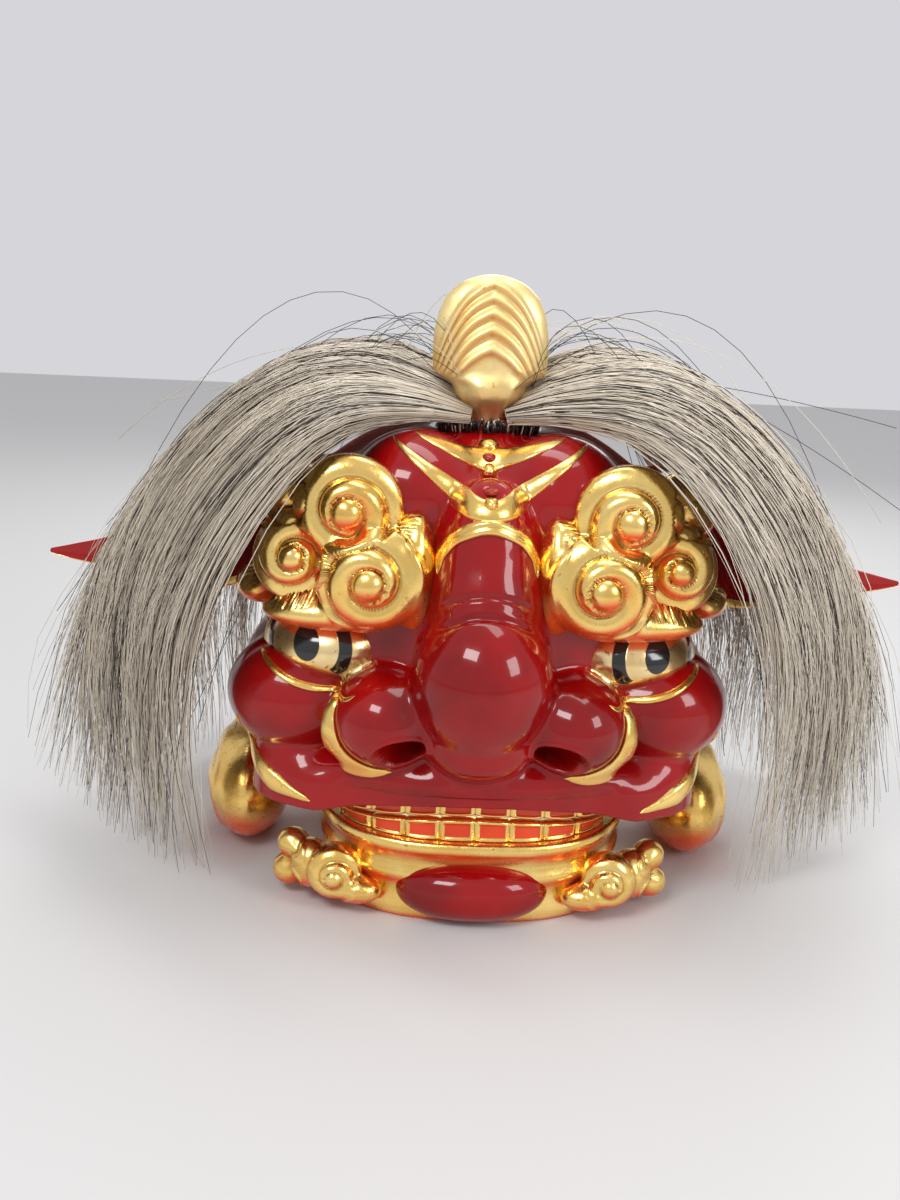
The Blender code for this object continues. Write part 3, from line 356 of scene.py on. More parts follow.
redLacquer = makeLacquer("redLacquer", lacquerSettings)
goldLeaf = makeGold("goldLeaf", goldSettings)
# the trims and the crest carry a weaker painted red reflection
goldTrim = makeGold("goldTrim", goldSettings, redReflection=0.35)
crestGold = makeGold("crestGold", {**goldSettings, "light": (1.0, 0.80, 0.40),
                                   "middle": (0.93, 0.66, 0.24), "roughness": (0.36, 0.52)}, redReflection=0.2)
plainWood = makeWood("plainWood", woodSettings)
horseHair = makeHair("horseHair", hairSettings)
mouthPaint = makePaint("mouthPaint", paintSettings["mouth"], 0.5)
# a brighter red lacquer for the teeth panels, its colour a painted red reflection
reflectedRedLacquer = makeLacquer("reflectedRedLacquer", {**lacquerSettings, "deep": (0.55, 0.03, 0.008),
                                      "middle": (0.70, 0.05, 0.010), "light": (0.85, 0.09, 0.016)})
print("materials made")


# the carved skin of the head

headSettings = {"halfWidth": 0.155, "noseReach": 0.155, "crownHeight": 0.300, "headBack": 0.150,
                "wall": 0.010, "lipCentre": 0.078, "lipCorner": 0.066, "lipHalf": 0.095,
                "skirt": 0.083, "melt": 0.0032, "poleTilt": 0.75, "frontFiner": 0.50,
                "rings": 205, "spokes": 320, "innerRings": 14}

# name, paired, x, y, z, half_x, half_y, half_z, as shares of the three head sizes
headLobes = (
    ("skull", 0, 0.0, 0.20, 0.590, 0.89, 0.87, 0.400),
    ("rear", 0, 0.0, 0.72, 0.500, 0.94, 0.86, 0.450),
    ("bridge", 0, 0.0, -0.55, 0.720, 0.19, 0.21, 0.165),
    ("bulb", 0, 0.0, -0.73, 0.515, 0.26, 0.27, 0.148),
    ("noseRoot", 0, 0.0, -0.62, 0.650, 0.20, 0.20, 0.110),
    ("septum", 0, 0.0, -0.70, 0.380, 0.20, 0.18, 0.067),
    ("upperLip", 0, 0.0, -0.53, 0.297, 0.60, 0.24, 0.057),
    ("noseWing", 1, 0.355, -0.63, 0.420, 0.20, 0.23, 0.098),
    ("lipCorner", 1, 0.550, -0.46, 0.270, 0.23, 0.20, 0.057),
    ("lipSide", 1, 0.700, -0.34, 0.285, 0.19, 0.25, 0.085),
    ("cheek", 1, 0.710, -0.36, 0.425, 0.28, 0.28, 0.120),
    ("cheekSide", 1, 0.780, 0.02, 0.390, 0.21, 0.50, 0.150),
    ("browRidge", 1, 0.500, -0.29, 0.720, 0.37, 0.32, 0.165),
    ("forehead", 1, 0.275, -0.29, 0.840, 0.26, 0.28, 0.120),
    ("temple", 1, 0.730, 0.05, 0.680, 0.22, 0.45, 0.200),
    ("palate", 0, 0.0, -0.20, 0.330, 0.47, 0.48, 0.100))
nostrilSettings = {"out": 0.0465, "height": 0.1115, "wide": 0.0135, "tall": 0.0105, "deep": 0.024,
                   "turn": 0.35, "soft": 0.34, "lipRise": 0.0012, "lipAt": 1.12, "lipWide": 0.12}
# each crease: height, half width, depth
foldSettings = {"creases": ((0.196, 0.032, 0.0024), (0.206, 0.028, 0.0014)), "creaseWide": 0.0016,
                "bend": 0.40, "bendSpan": 0.030, "seamDeep": 0.0014, "seamWide": 0.0022,
                "seamOut": 0.0045, "seamSlope": 0.12, "seamMiddle": 0.246}

sizes = np.array([headSettings["halfWidth"], headSettings["noseReach"], headSettings["crownHeight"]])
centre = np.array([0.0, 0.0, 0.46 * headSettings["crownHeight"]])


def lobeField(points, lobes, melt):
    # -melt ln(sum exp(-d / melt)), with d each ellipsoid's distance, negative inside
    total = np.zeros(points.shape[:-1])
    for middle, half in lobes:
        offset = points - middle
        scaled = np.linalg.norm(offset / half, axis=-1)
        slope = np.linalg.norm(offset / half**2, axis=-1)
        total += np.exp(-np.minimum(scaled * (scaled - 1) / np.maximum(slope, 1e-9), 0.3) / melt)
    return -melt * np.log(total)


def lobesOf(table, scale, names=None):
    found = []
    for name, paired, *shares in table:
        if names and name not in names:
            continue
        middle, half = np.array(shares[:3]) * scale, np.array(shares[3:]) * scale
        for side in ((-1, 1) if paired else (1,)):
            found.append((middle * (side, 1, 1), half))
    return found


outerLobes = lobesOf(headLobes, sizes)
innerLobes = lobesOf(headLobes, sizes, ("skull", "rear", "palate"))


def skinField(points, lobes=outerLobes):
    # the field falls straight below the skirt's height
    level = np.maximum(points[..., 2:], headSettings["skirt"])
    return lobeField(np.concatenate([points[..., :2], level], axis=-1), lobes, headSettings["melt"])


def reachOf(start, rays, field, far=0.30, steps=46):
    # each ray's length, closed in from outside by 0.8 of the field's value at a time
    length = np.full(rays.shape[:-1], far)
    for _ in range(steps):
        length = length - np.maximum(0.8 * field(start + rays * length[..., None]), 0)
    return np.maximum(length, 0.004)


def starRays(angles, tilts):
    # unit vectors at tilt from straight ahead, turned by angle from straight down
    angles, tilts = np.broadcast_arrays(angles, tilts)
    out = np.sin(tilts)
    return np.stack([out * np.sin(angles), -np.cos(tilts), -out * np.cos(angles)], axis=-1)


def headRays(angles, tilts):
    # the same about a pole that leans up to the forehead
    lean = headSettings["poleTilt"]
    turn = np.array([[1, 0, 0], [0, np.cos(lean), np.sin(lean)], [0, -np.sin(lean), np.cos(lean)]])
    return starRays(angles, tilts) @ turn.T


def rimHeight(across):
    # the upper lip's lower edge: lipCentre in the middle, going by a square to lipCorner at lipHalf
    share = np.clip(np.abs(across) / headSettings["lipHalf"], 0, 1)
    return headSettings["lipCentre"] + (headSettings["lipCorner"] - headSettings["lipCentre"]) * share**2


def headReach(rays):
    return reachOf(centre, rays, skinField)


def hollowReach(rays):
    return reachOf(centre, rays, lambda p: skinField(p, innerLobes)) - headSettings["wall"]


def rimTilts(angles, reach):
    # the tilt where each spoke passes the lower rim or the rear plane, by halving
    def past(a, t):
        rays = headRays(a, t)
        points = centre + rays * reach(rays)[..., None]
        return np.maximum(rimHeight(points[..., 0]) - points[..., 2],
                          points[..., 1] - headSettings["headBack"])
    tilts = np.linspace(0.25, 2.75, 50)
    first = np.argmax(past(angles[:, None], tilts[None, :]) > 0, axis=1)
    low, high = tilts[first - 1], tilts[first]
    for _ in range(12):
        middle = (low + high) / 2
        over = past(angles, middle) > 0
        high, low = np.where(over, middle, high), np.where(over, low, middle)
    return (low + high) / 2


def frontOf(across, height):
    # the skin's front point at each place of the face plane
    across, height = np.broadcast_arrays(np.asarray(across, float), np.asarray(height, float))
    points = np.stack([across, np.full(across.shape, -0.25), height], axis=-1)
    for _ in range(60):
        points[..., 1] += np.maximum(0.8 * skinField(points), 0)
    return points


def skinRelief(points):
    # shallow folds: two arched creases where the bulb meets the bridge, two steep seams at its root
    s = foldSettings
    x, z = points[..., 0], points[..., 2]
    front = smoothStep(-points[..., 1], 0.06, 0.09)
    relief = np.zeros(x.shape)
    for level, half, deep in s["creases"]:
        arc = z - (level - s["bend"] * x**2 / s["bendSpan"])
        relief -= deep * np.exp(-(arc / s["creaseWide"])**2) * smoothStep(half - np.abs(x), 0.0, 0.008)
    seam = np.abs(np.abs(x) - (s["seamOut"] + s["seamSlope"] * np.abs(z - s["seamMiddle"])))
    relief -= (s["seamDeep"] * np.exp(-(seam / s["seamWide"])**2) * smoothStep(z, 0.236, 0.246)
               * smoothStep(0.262 - z, 0.0, 0.006))
    return relief * front


def makeHead():
    s = headSettings
    turns = turnsOf(s["spokes"])
    angles = turns - s["frontFiner"] * np.sin(turns)

    def patch(rings, reach):
        shares = np.linspace(0, 1, rings + 1)[1:]
        rays = headRays(angles[None, :], shares[:, None] * rimTilts(angles, reach)[None, :])
        return rays, reach(rays)

    rays, reach = patch(s["rings"], headReach)
    n = nostrilSettings
    for side in (-1, 1):
        mouth = frontOf(side * n["out"], n["height"])
        axis = unit(mouth - centre)
        sideways = unit(np.cross(axis, (0, 0, 1)))
        upward = np.cross(sideways, axis)
        offset = (rays - axis) * np.linalg.norm(mouth - centre)
        u, v = offset @ sideways, offset @ upward
        turn = side * n["turn"]
        p, q = u * np.cos(turn) + v * np.sin(turn), v * np.cos(turn) - u * np.sin(turn)
        r = np.sqrt((p / n["wide"])**2 + (q / n["tall"])**2) + 4 * (rays @ axis < 0.8)
        reach = (reach - n["deep"] * smoothStep(1.0 - r, 0.0, n["soft"])
                 + n["lipRise"] * np.exp(-((r - n["lipAt"]) / n["lipWide"])**2))
    outer = centre + rays * reach[..., None]
    outer += outwardNormals(outer, rays) * skinRelief(outer)[..., None]
    pole = headRays(0.0, 0.0)
    outerPole = centre + pole * headReach(pole)
    innerRays, innerReach = patch(s["innerRings"], hollowReach)
    inner = centre + innerRays * innerReach[..., None]
    innerPole = centre + pole * hollowReach(pole)
    spokes = s["spokes"]
    points = np.concatenate([[outerPole], outer.reshape(-1, 3), [innerPole], inner.reshape(-1, 3)])
    second = 1 + s["rings"] * spokes
    outerQuads = wrapQuads(s["rings"], spokes, 1)
    innerQuads = wrapQuads(s["innerRings"], spokes, second + 1)[:, ::-1]
    rimA, rimB = second - spokes, len(points) - spokes
    column = np.arange(spokes)
    after = (column + 1) % spokes
    rim = np.stack([rimA + column, rimA + after, rimB + after, rimB + column], axis=-1)
    tris = np.concatenate([fan(0, 1, spokes), fan(second, second + 1, spokes)[:, ::-1]])
    quads = np.concatenate([outerQuads, innerQuads, rim])
    inside = np.concatenate([np.zeros(len(outerQuads)), np.ones(len(innerQuads)), np.zeros(len(rim)),
                             np.zeros(spokes), np.ones(spokes)])
    putMesh("carvedHead", points, quads, tris, [redLacquer, plainWood], "head",
            ["head_shell"], finish=inside)
    print("head carved:", len(points), "points")


makeHead()


# raised bands that lie on the skin

def seatDepth(points, way):
    # how far the skin stands along way, marched in from outside
    flat = points - (points @ way)[..., None] * way
    depth = np.full(points.shape[:-1], 0.26)
    for _ in range(60):
        depth = depth - np.maximum(0.8 * skinField(flat + depth[..., None] * way), 0)
    return flat, depth


def seatOnSkin(points, under):
    # nothing stands further back than under behind the skin's front point at the same place
    front = frontOf(points[..., 0], points[..., 2])[..., 1]
    seated = points.copy()
    seated[..., 1] = np.where(front < 0.05, np.minimum(points[..., 1], front + under), points[..., 1])
    return seated


def smoothLine(values, times):
    for _ in range(times):
        middle = (values[:-2] + 2 * values[1:-1] + values[2:]) / 4
        values = np.concatenate([values[:1], middle, values[-1:]])
    return values


def makeBand(name, knots, widths, height, way, replaced, groove=0.0, level=0.0, count=96, sides=20):
    # offset w(t) cos a across the route and h sin a along way, from the skin's own depth
    way = unit(np.array(way, float))
    route = smoothRoute(knots, count)
    front = frontOf(route[:, 0], route[:, 1])
    flat = smoothLine(front - (front @ way)[:, None] * way, 3)
    across = unit(np.cross(np.gradient(flat, axis=0), way))
    turn = turnsOf(sides)
    fromEnd = np.minimum(np.arange(count), np.arange(count)[::-1])
    wide = spread(widths, count) * np.clip(fromEnd / 5, 0.08, 1)**0.5
    grid = flat[:, None] + across[:, None] * (wide[:, None] * np.cos(turn))[..., None]
    flatGrid, depth = seatDepth(grid, way)
    depth = 0.5 * depth + 0.5 * smoothLine(depth, 6)
    highest = smoothLine(depth.max(axis=1), 8)[:, None]
    depth = np.where(np.sin(turn) > -0.1, depth + level * (highest - depth), depth)
    tall = height * np.clip(wide / wide.max(), 0.25, 1)[:, None] * np.maximum(np.sin(turn), 0)**0.6
    tall = tall - groove * np.exp(-(np.cos(turn) / 0.18)**2) * (np.sin(turn) > 0)
    low = -0.003 * (np.sin(turn) < -0.1)
    points = flatGrid + (depth + tall + low)[..., None] * way
    points, quads, tris = closeGrid(points, ringEnds(points))
    putMesh(name, points, quads, tris, [goldTrim], "head", replaced)


bandSettings = {
    "foreheadUpper": {"knots": ((-0.044, 0.287), (-0.027, 0.281), (-0.010, 0.274), (0.0, 0.272),
                                (0.010, 0.274), (0.027, 0.281), (0.044, 0.287)),
                      "widths": (0.0012, 0.0046, 0.0084, 0.0108, 0.0084, 0.0046, 0.0012), "height": 0.0026,
                      "way": (0.0, -0.75, 0.66), "replaced": ["forehead_band_upper"]},
    "foreheadLower": {"knots": ((-0.057, 0.284), (-0.034, 0.268), (-0.014, 0.254), (0.0, 0.2505),
                                (0.014, 0.254), (0.034, 0.268), (0.057, 0.284)),
                      "widths": (0.0012, 0.0034, 0.0056, 0.0072, 0.0056, 0.0034, 0.0012), "height": 0.0032,
                      "way": (0.0, -0.80, 0.60), "replaced": ["forehead_band_lower"]},
    "noseArch": {"knots": ((-0.0285, 0.2125), (-0.0270, 0.223), (-0.0200, 0.234), (-0.009, 0.2405),
                           (0.0, 0.2425), (0.009, 0.2405), (0.0200, 0.234),
                           (0.0270, 0.223), (0.0285, 0.2125)),
                 "widths": (0.0014, 0.0034, 0.0042, 0.0046, 0.0042, 0.0034, 0.0014), "height": 0.0032,
                 "way": (0.0, -0.97, 0.24), "replaced": ["nose_arch"], "groove": 0.0012},
}
for side, word in bothSides:
    bandSettings["nostrilTrim" + word] = {
        "knots": [(side * x, z) for x, z in ((0.0805, 0.1440), (0.0855, 0.1300), (0.0835, 0.1145),
                                             (0.0750, 0.1030), (0.0628, 0.0968), (0.0500, 0.0965))],
        "widths": (0.0008, 0.0036, 0.0058, 0.0072, 0.0066, 0.0040, 0.0010), "height": 0.0036, "level": 0.75,
        "way": (side * 0.30, -0.92, -0.22), "replaced": ["nostril_trim_" + word]}
    bandSettings["cheekEdge" + word] = {
        "knots": [(side * x, z) for x, z in ((0.1450, 0.116), (0.1432, 0.104), (0.1340, 0.089),
                                             (0.1180, 0.078), (0.0980, 0.0715))],
        "widths": (0.0012, 0.0026, 0.0032, 0.0056, 0.0060, 0.0030, 0.0010), "height": 0.0036,
        "way": (side * 0.70, -0.70, -0.15), "replaced": ["cheek_edge_" + word]}
    bandSettings["eyeRim" + word] = {
        "knots": [(side * x, z) for x, z in ((0.1350, 0.1620), (0.1250, 0.1520), (0.1100, 0.1440),
                                             (0.0920, 0.1395), (0.0790, 0.1400), (0.0720, 0.1440))],
        "widths": (0.0008, 0.0016, 0.0020, 0.0022, 0.0018, 0.0008), "height": 0.0024,
        "way": (side * 0.25, -0.95, 0.15), "replaced": []}


def makeBands():
    for name, s in bandSettings.items():
        makeBand(name, **s)
    print("bands laid:", len(bandSettings))


makeBands()


# rounded pieces: knobs and eyes

knobSettings = (("foreheadKnob", 0.2785, (0.0066, 0.0085, 0.0046), "gold_leaf", ["forehead_knob"]),
                ("foreheadBead", 0.2725, (0.0056, 0.0085, 0.0034), "red_lacquer", ["forehead_bead"]),
                ("lowerKnob", 0.2665, (0.0050, 0.0090, 0.0042), "gold_leaf", []),
                ("lowerBead", 0.2600, (0.0044, 0.0080, 0.0024), "red_lacquer", []),
                ("lowestKnob", 0.2540, (0.0048, 0.0085, 0.0044), "gold_leaf", []))


def makeKnobs():
    for name, height, half, slot, nodes in knobSettings:
        seat = frontOf(0.0, height)
        points, quads, tris = closeGrid(*ballGrid(seat + (0, 0.002, 0), np.array(half), 16, 24))
        material = goldTrim if slot == "gold_leaf" else redLacquer
        putMesh(name, points, quads, tris, [material], "head", nodes)


makeKnobs()

eyeSettings = {"out": 0.0885, "height": 0.1595, "half": (0.0435, 0.046, 0.0262), "bulge": 0.0225,
               "under": 0.005,
               "pupil": (0.1025, 0.1655, 0.0078, 0.0100), "ring": (0.0835, 0.1625, 0.0078, 0.0150),
               "ringCut": (0.0925, 0.1635, 0.0092, 0.0135), "arc": (0.1215, 0.1655, 0.0052, 0.0140),
               "arcCut": (0.1185, 0.1655, 0.0050, 0.0150)}


def makeEyeMaterial(name, side, s):
    # ellipses in the face plane: the pupil, a crescent towards the nose and a thin arc outside
    material, shader, add, link = nodeMaker(name)
    texture = add("ShaderNodeTexCoord")
    xyz = add("ShaderNodeSeparateXYZ", {"Vector": texture.outputs["Object"]}).outputs

    def inside(ellipse):
        x, z, wide, tall = ellipse
        parts = []
        for axis, middle, half in (("X", side * x, wide), ("Z", z, tall)):
            scaled = mathOf(add, "DIVIDE", mathOf(add, "SUBTRACT", xyz[axis], middle), half)
            parts.append(mathOf(add, "POWER", scaled, 2.0))
        return rangeOf(add, mathOf(add, "ADD", *parts), 1.06, 0.94)

    def without(whole, cut):
        keep = mathOf(add, "SUBTRACT", 1.0, inside(cut))
        return mathOf(add, "MULTIPLY", inside(whole), keep)

    mask = inside(s["pupil"])
    for part in (without(s["ring"], s["ringCut"]), without(s["arc"], s["arcCut"])):
        mask = mathOf(add, "MAXIMUM", mask, part)
    place = texture.outputs["Object"]
    slow = noiseOf(add, place, 40.0)
    fine = noiseOf(add, place, 260.0, 5.0)
    gold = rampOf(add, slow, [(0.30, (0.84, 0.56, 0.21)), (0.65, (1.0, 0.80, 0.42))])
    gold = mixOf(add, rangeOf(add, fine, 0.60, 0.70), gold, goldSettings["brown"])
    link(mixOf(add, mask, gold, paintSettings["black"]), shader.inputs["Base Color"])
    link(rangeOf(add, mask, 0.0, 1.0, 1.0, 0.0), shader.inputs["Metallic"])
    link(rangeOf(add, mask, 0.0, 1.0, 0.26, 0.12), shader.inputs["Roughness"])
    shader.inputs["Coat Weight"].default_value = 0.5
    shader.inputs["Coat Roughness"].default_value = 0.05
    coat = bumpOf(add, fine, 0.12, 0.0008)
    link(bumpOf(add, mask, 0.5, 0.0006, coat), shader.inputs["Normal"])
    return material


def makeEyes():
    s = eyeSettings
    for side, word in bothSides:
        front = frontOf(side * s["out"], s["height"])
        middle = front + (0, s["half"][1] - s["bulge"], 0)
        points, quads, tris = closeGrid(*ballGrid(middle, np.array(s["half"]), 44, 72))
        paint = makeEyeMaterial("eyePaint." + word, side, s)
        putMesh("eyeball." + word, seatOnSkin(points, s["under"]), quads, tris, [paint], "head",
                ["eye_" + word])
    print("eyes set")


makeEyes()


# brows and jaw scrolls: melted lobes with spiral relief

def whorlRelief(x, z, whorls, height):
    # nearest whorl's spiral: 1.15 |sin(pi (rings r - turn a / 2 pi))|^0.8 - 0.62, a ball in its middle
    best, relief = np.full(x.shape, 9.0), np.zeros(x.shape)
    for middleX, middleZ, radius, rings, turn, start in whorls:
        dx, dz = x - middleX, z - middleZ
        r = np.hypot(dx, dz) / radius
        phase = rings * r - turn * (np.arctan2(dz, dx) + start) / (2 * np.pi)
        ridge = np.abs(np.sin(np.pi * phase))**0.8 * 1.15 - 0.62
        core = 0.34
        ball = np.sqrt(np.clip(1 - (r / core)**2, 0, 1)) * 1.75 - 0.62
        value = np.where(r < core, ball, ridge)
        edge = smoothStep(1.10 - r, 0.0, 0.16)
        value = value * edge + 0.35 * np.exp(-((r - 1.0) / 0.07)**2)
        relief = np.where(r < best, value, relief)
        best = np.minimum(best, r)
    return relief * height * smoothStep(1.5 - best, 0.0, 0.3)


browSettings = {"out": 0.086, "height": 0.215, "sink": 0.030, "size": 0.060, "melt": 0.0016,
                "relief": 0.0046, "rings": 120, "spokes": 180, "reach": 118, "under": 0.006}
# name, then place and half size, in shares of the brow's size
browLobes = (("core", 0.0, 0.05, 0.0, 0.62, 0.40, 0.50), ("upper", -0.10, 0.32, 0.50, 0.50, 0.36, 0.50),
             ("inner", -0.33, 0.52, -0.13, 0.50, 0.36, 0.50), ("outer", 0.42, 0.20, 0.02, 0.40, 0.36, 0.42),
             ("behind", 0.52, -0.16, 0.55, 0.36, 0.34, 0.36), ("tail", 0.80, -0.25, -0.38, 0.26, 0.40, 0.20),
             ("lower", -0.05, 0.26, -0.52, 0.78, 0.36, 0.20), ("edge", -0.76, 0.40, -0.10, 0.20, 0.32, 0.60))
# x, z, radius, rings, turning way, start angle
browWhorls = ((-0.10, 0.50, 0.49, 1.9, 1, 0.6), (-0.33, -0.13, 0.50, 1.9, -1, 2.2),
              (0.42, 0.04, 0.40, 1.7, 1, 3.6), (0.55, 0.56, 0.34, 1.7, -1, 1.0))


def makeBrows():
    s = browSettings
    middle = frontOf(s["out"], s["height"]) + (0, s["sink"], 0)
    lobes = [(middle + np.array([x, -y, z]) * s["size"], np.array([a, b, c]) * s["size"])
             for _, x, y, z, a, b, c in browLobes]
    angles = turnsOf(s["spokes"])
    tilts = np.linspace(0, np.radians(s["reach"]), s["rings"] + 1)[1:]
    rays = unit(starRays(angles[None, :], tilts[:, None]) * (1, 0.75, 1))
    field = lambda p: lobeField(p, lobes, s["melt"])
    grid = middle + rays * reachOf(middle, rays, field, 0.12)[..., None]
    whorls = [(middle[0] + x * s["size"], middle[2] + z * s["size"], r * s["size"], n, t, a)
              for x, z, r, n, t, a in browWhorls]
    front = smoothStep(-rays[..., 1], 0.05, 0.5)
    normals = outwardNormals(grid, rays)
    relief = whorlRelief(grid[..., 0], grid[..., 2], whorls, s["relief"])
    grid = grid + normals * (relief * front)[..., None]
    ahead = np.array([0.0, -1.0, 0.0])
    tip = middle + ahead * reachOf(middle, ahead, field, 0.12)
    poles = np.stack([tip, middle])
    grid, poles = seatOnSkin(grid, s["under"]), seatOnSkin(poles, s["under"])
    for side, word in bothSides:
        points, quads, tris = closeGrid(grid * (side, 1, 1), poles * (side, 1, 1))
        putMesh("browCloud." + word, points, quads, tris, [goldLeaf], "head", ["brow_" + word])
    print("brows carved")


makeBrows()


# crest jewel

crestSettings = {"tall": 0.097, "halfWidth": 0.036, "halfDepth": 0.016, "ribs": 0.0030,
                 "apexes": (0.0050, 0.0135, 0.0225, 0.0325, 0.0440), "facets": 7, "facetDeep": 0.0010,
                 "rows": 130, "columns": 160}
# height, half width and half depth, as shares
crestOutline = ((0.00, 0.30, 0.60), (0.14, 0.34, 0.70), (0.23, 0.58, 1.10), (0.32, 0.66, 1.15),
                (0.38, 0.98, 0.98), (0.50, 1.00, 0.92), (0.62, 0.99, 0.86), (0.75, 0.93, 0.78),
                (0.86, 0.80, 0.68), (0.94, 0.58, 0.52), (0.985, 0.32, 0.32), (1.0, 0.04, 0.05))


def makeCrest():
    # ellipses up the jewel's height; a rib where (top - z) - 0.45 |x| - 0.04 |x / half|^3 is its apex
    s = crestSettings
    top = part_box("crest_jewel")[1][2]
    foot = top - s["tall"]
    rows, columns = s["rows"], s["columns"]
    table = np.array(crestOutline)
    place = np.linspace(0, 1, rows)**0.9
    heights = place * 0.992
    wide = smoothLine(np.interp(heights, table[:, 0], table[:, 1]) * s["halfWidth"], 10)
    deep = smoothLine(np.interp(heights, table[:, 0], table[:, 2]) * s["halfDepth"], 10)
    turn = turnsOf(columns)
    x = wide[:, None] * np.sign(np.cos(turn)) * np.abs(np.cos(turn))**0.9
    y = deep[:, None] * np.sin(turn)
    z = np.broadcast_to((foot + s["tall"] * heights)[:, None], x.shape)
    down = (top - z) - 0.45 * np.abs(x) - 0.040 * (np.abs(x) / s["halfWidth"])**3
    ribs = sum(np.exp(-((down - a) / (0.0026 + 0.02 * a))**2) for a in s["apexes"])
    upper = smoothStep(z, foot + 0.34 * s["tall"], foot + 0.42 * s["tall"])
    flat = np.abs(np.sin(turn))**0.7
    bulb = smoothStep(foot + 0.36 * s["tall"] - z, 0.0, 0.006)
    facets = s["facetDeep"] * np.cos(s["facets"] * turn) * bulb
    y = y + np.sign(np.sin(turn)) * (s["ribs"] * ribs * upper * flat + facets)
    grid = np.stack([x, y, z], axis=-1)
    poles = np.array([(0, 0, foot), (0, 0, top)])
    points, quads, tris = closeGrid(grid, poles)
    putMesh("crestJewel", points, quads, tris, [crestGold], "head", ["crest_jewel"])
    print("crest made")


makeCrest()


# ears

earSettings = {"length": 0.153, "height": 0.110, "low": 0.170, "back": 0.040, "thick": 0.009,
               "sink": 0.018, "cup": 0.004, "point": 0.001, "rim": 0.0012, "giltHalf": 0.42}
# place along the ear, lower edge, upper edge and thickness, as shares
earOutline = ((0.00, 0.12, 0.90, 1.00), (0.12, 0.02, 1.02, 1.00), (0.22, -0.03, 0.98, 1.00),
              (0.32, -0.04, 0.80, 0.95), (0.44, -0.02, 0.56, 0.85), (0.56, 0.02, 0.37, 0.75),
              (0.72, 0.06, 0.26, 0.60), (0.88, 0.10, 0.20, 0.40), (0.985, 0.135, 0.165, 0.20))


def makeEars():
    # flat ellipses from root to tip, cupped forward, with a raised gilt lower edge
    s = earSettings
    rows, columns = 90, 40
    table = smoothRoute(earOutline, rows)
    turn = turnsOf(columns)
    lower, upper, thick = table[:, 1], table[:, 2], table[:, 3]
    middle = s["low"] + s["height"] * (lower + upper) / 2
    half = s["height"] * (upper - lower) / 2
    for side, word in bothSides:
        root = headSettings["halfWidth"] - s["sink"]
        x = side * (root + s["length"] * table[:, :1] / earOutline[-1][0] * 0.99) + 0 * turn
        y = (s["back"] + (s["thick"] / 2 * thick)[:, None] * np.sin(turn)
             - (s["cup"] * thick)[:, None] * np.cos(turn)**2)
        z = middle[:, None] + half[:, None] * np.cos(turn)
        edge = np.exp(-((turn - np.pi) / 0.35)**2)
        y = y + s["rim"] * edge * np.sin(turn) * 3
        grid = np.stack([x, y, z], axis=-1)
        poles = ringEnds(grid) + np.array([(0, 0, 0), (side * s["point"], 0, 0)])
        points, quads, tris = closeGrid(grid, poles)
        low = np.abs(((np.arange(columns) + 0.5) * 2 * np.pi / columns) - np.pi) < s["giltHalf"]
        gilt = np.concatenate([np.tile(low, rows - 1), np.zeros(2 * columns)])
        putMesh("sideEar." + word, points, quads, tris, [redLacquer, goldTrim], "head",
                ["ear_" + word], finish=gilt)
    print("ears made")


makeEars()


# cheek curls behind the cheeks

curlSettings = {"inset": 0.005, "wide": 0.058, "tall": 0.082, "long": 0.130, "back": 0.030, "relief": 0.0022,
                "below": 0.004, "sunk": 0.0012, "whorlAhead": 0.012, "whorl": (0.034, 2.0, 1, 0.0)}


def makeCurls():
    # an ellipsoid cut flat at the floor, with grooves that follow a spiral seen from the side
    s = curlSettings
    for side, word in bothSides:
        middle = np.array([side * (headSettings["halfWidth"] - s["inset"]), s["back"],
                           s["tall"] / 2 - s["below"]])
        grid, poles = ballGrid(middle, np.array([s["wide"], s["long"], s["tall"]]) / 2, 70, 100)
        normals = outwardNormals(grid, grid - middle)
        outer = smoothStep(side * (grid[..., 0] - middle[0]) / s["wide"], -0.1, 0.15)
        whorls = [(middle[1] - s["whorlAhead"], middle[2], *s["whorl"])]
        groove = whorlRelief(grid[..., 1], grid[..., 2], whorls, s["relief"])
        grid = grid + normals * ((groove - s["sunk"]) * outer)[..., None]
        grid[..., 2] = np.maximum(grid[..., 2], 0.0)
        points, quads, tris = closeGrid(grid, poles)
        putMesh("cheekCurl." + word, points, quads, tris, [goldLeaf], "head",
                ["cheek_curl_" + word])
    print("cheek curls made")


makeCurls()


# the lower jaw

jawSettings = {"halfWidth": 0.100, "back": 0.090, "height": 0.051, "wall": 0.022, "power": 2.7, "steps": 220}
jawFront = -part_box("jaw_frame")[0][1]

# inset from the outline and height, in shares of the wall and the jaw's height
jawSection = ((1.00, 0.00), (0.60, 0.00), (0.24, 0.00), (0.14, 0.04), (0.12, 0.12), (0.20, 0.28),
              (0.21, 0.40), (0.10, 0.50), (0.06, 0.56), (0.12, 0.63), (0.17, 0.72), (0.10, 0.82),
              (0.01, 0.88), (0.00, 0.93),
              (0.05, 0.985), (0.16, 1.00), (0.55, 0.985), (0.92, 0.94), (1.00, 0.86), (1.00, 0.5))


def jawRoute(inset, count):
    # straight arms joined by a superellipse round the front
    half, front = jawSettings["halfWidth"] - inset, jawFront - inset
    turn = np.linspace(0, np.pi, count)
    power = 2 / jawSettings["power"]
    across = -half * np.sign(np.cos(turn)) * np.abs(np.cos(turn))**power
    ahead = -front * np.abs(np.sin(turn))**power
    arm = np.linspace(jawSettings["back"], 0, 12, endpoint=False)
    left = np.stack([np.full(12, -half), arm], axis=1)
    return np.concatenate([left, np.stack([across, ahead], axis=1), left[::-1] * (-1, 1)])


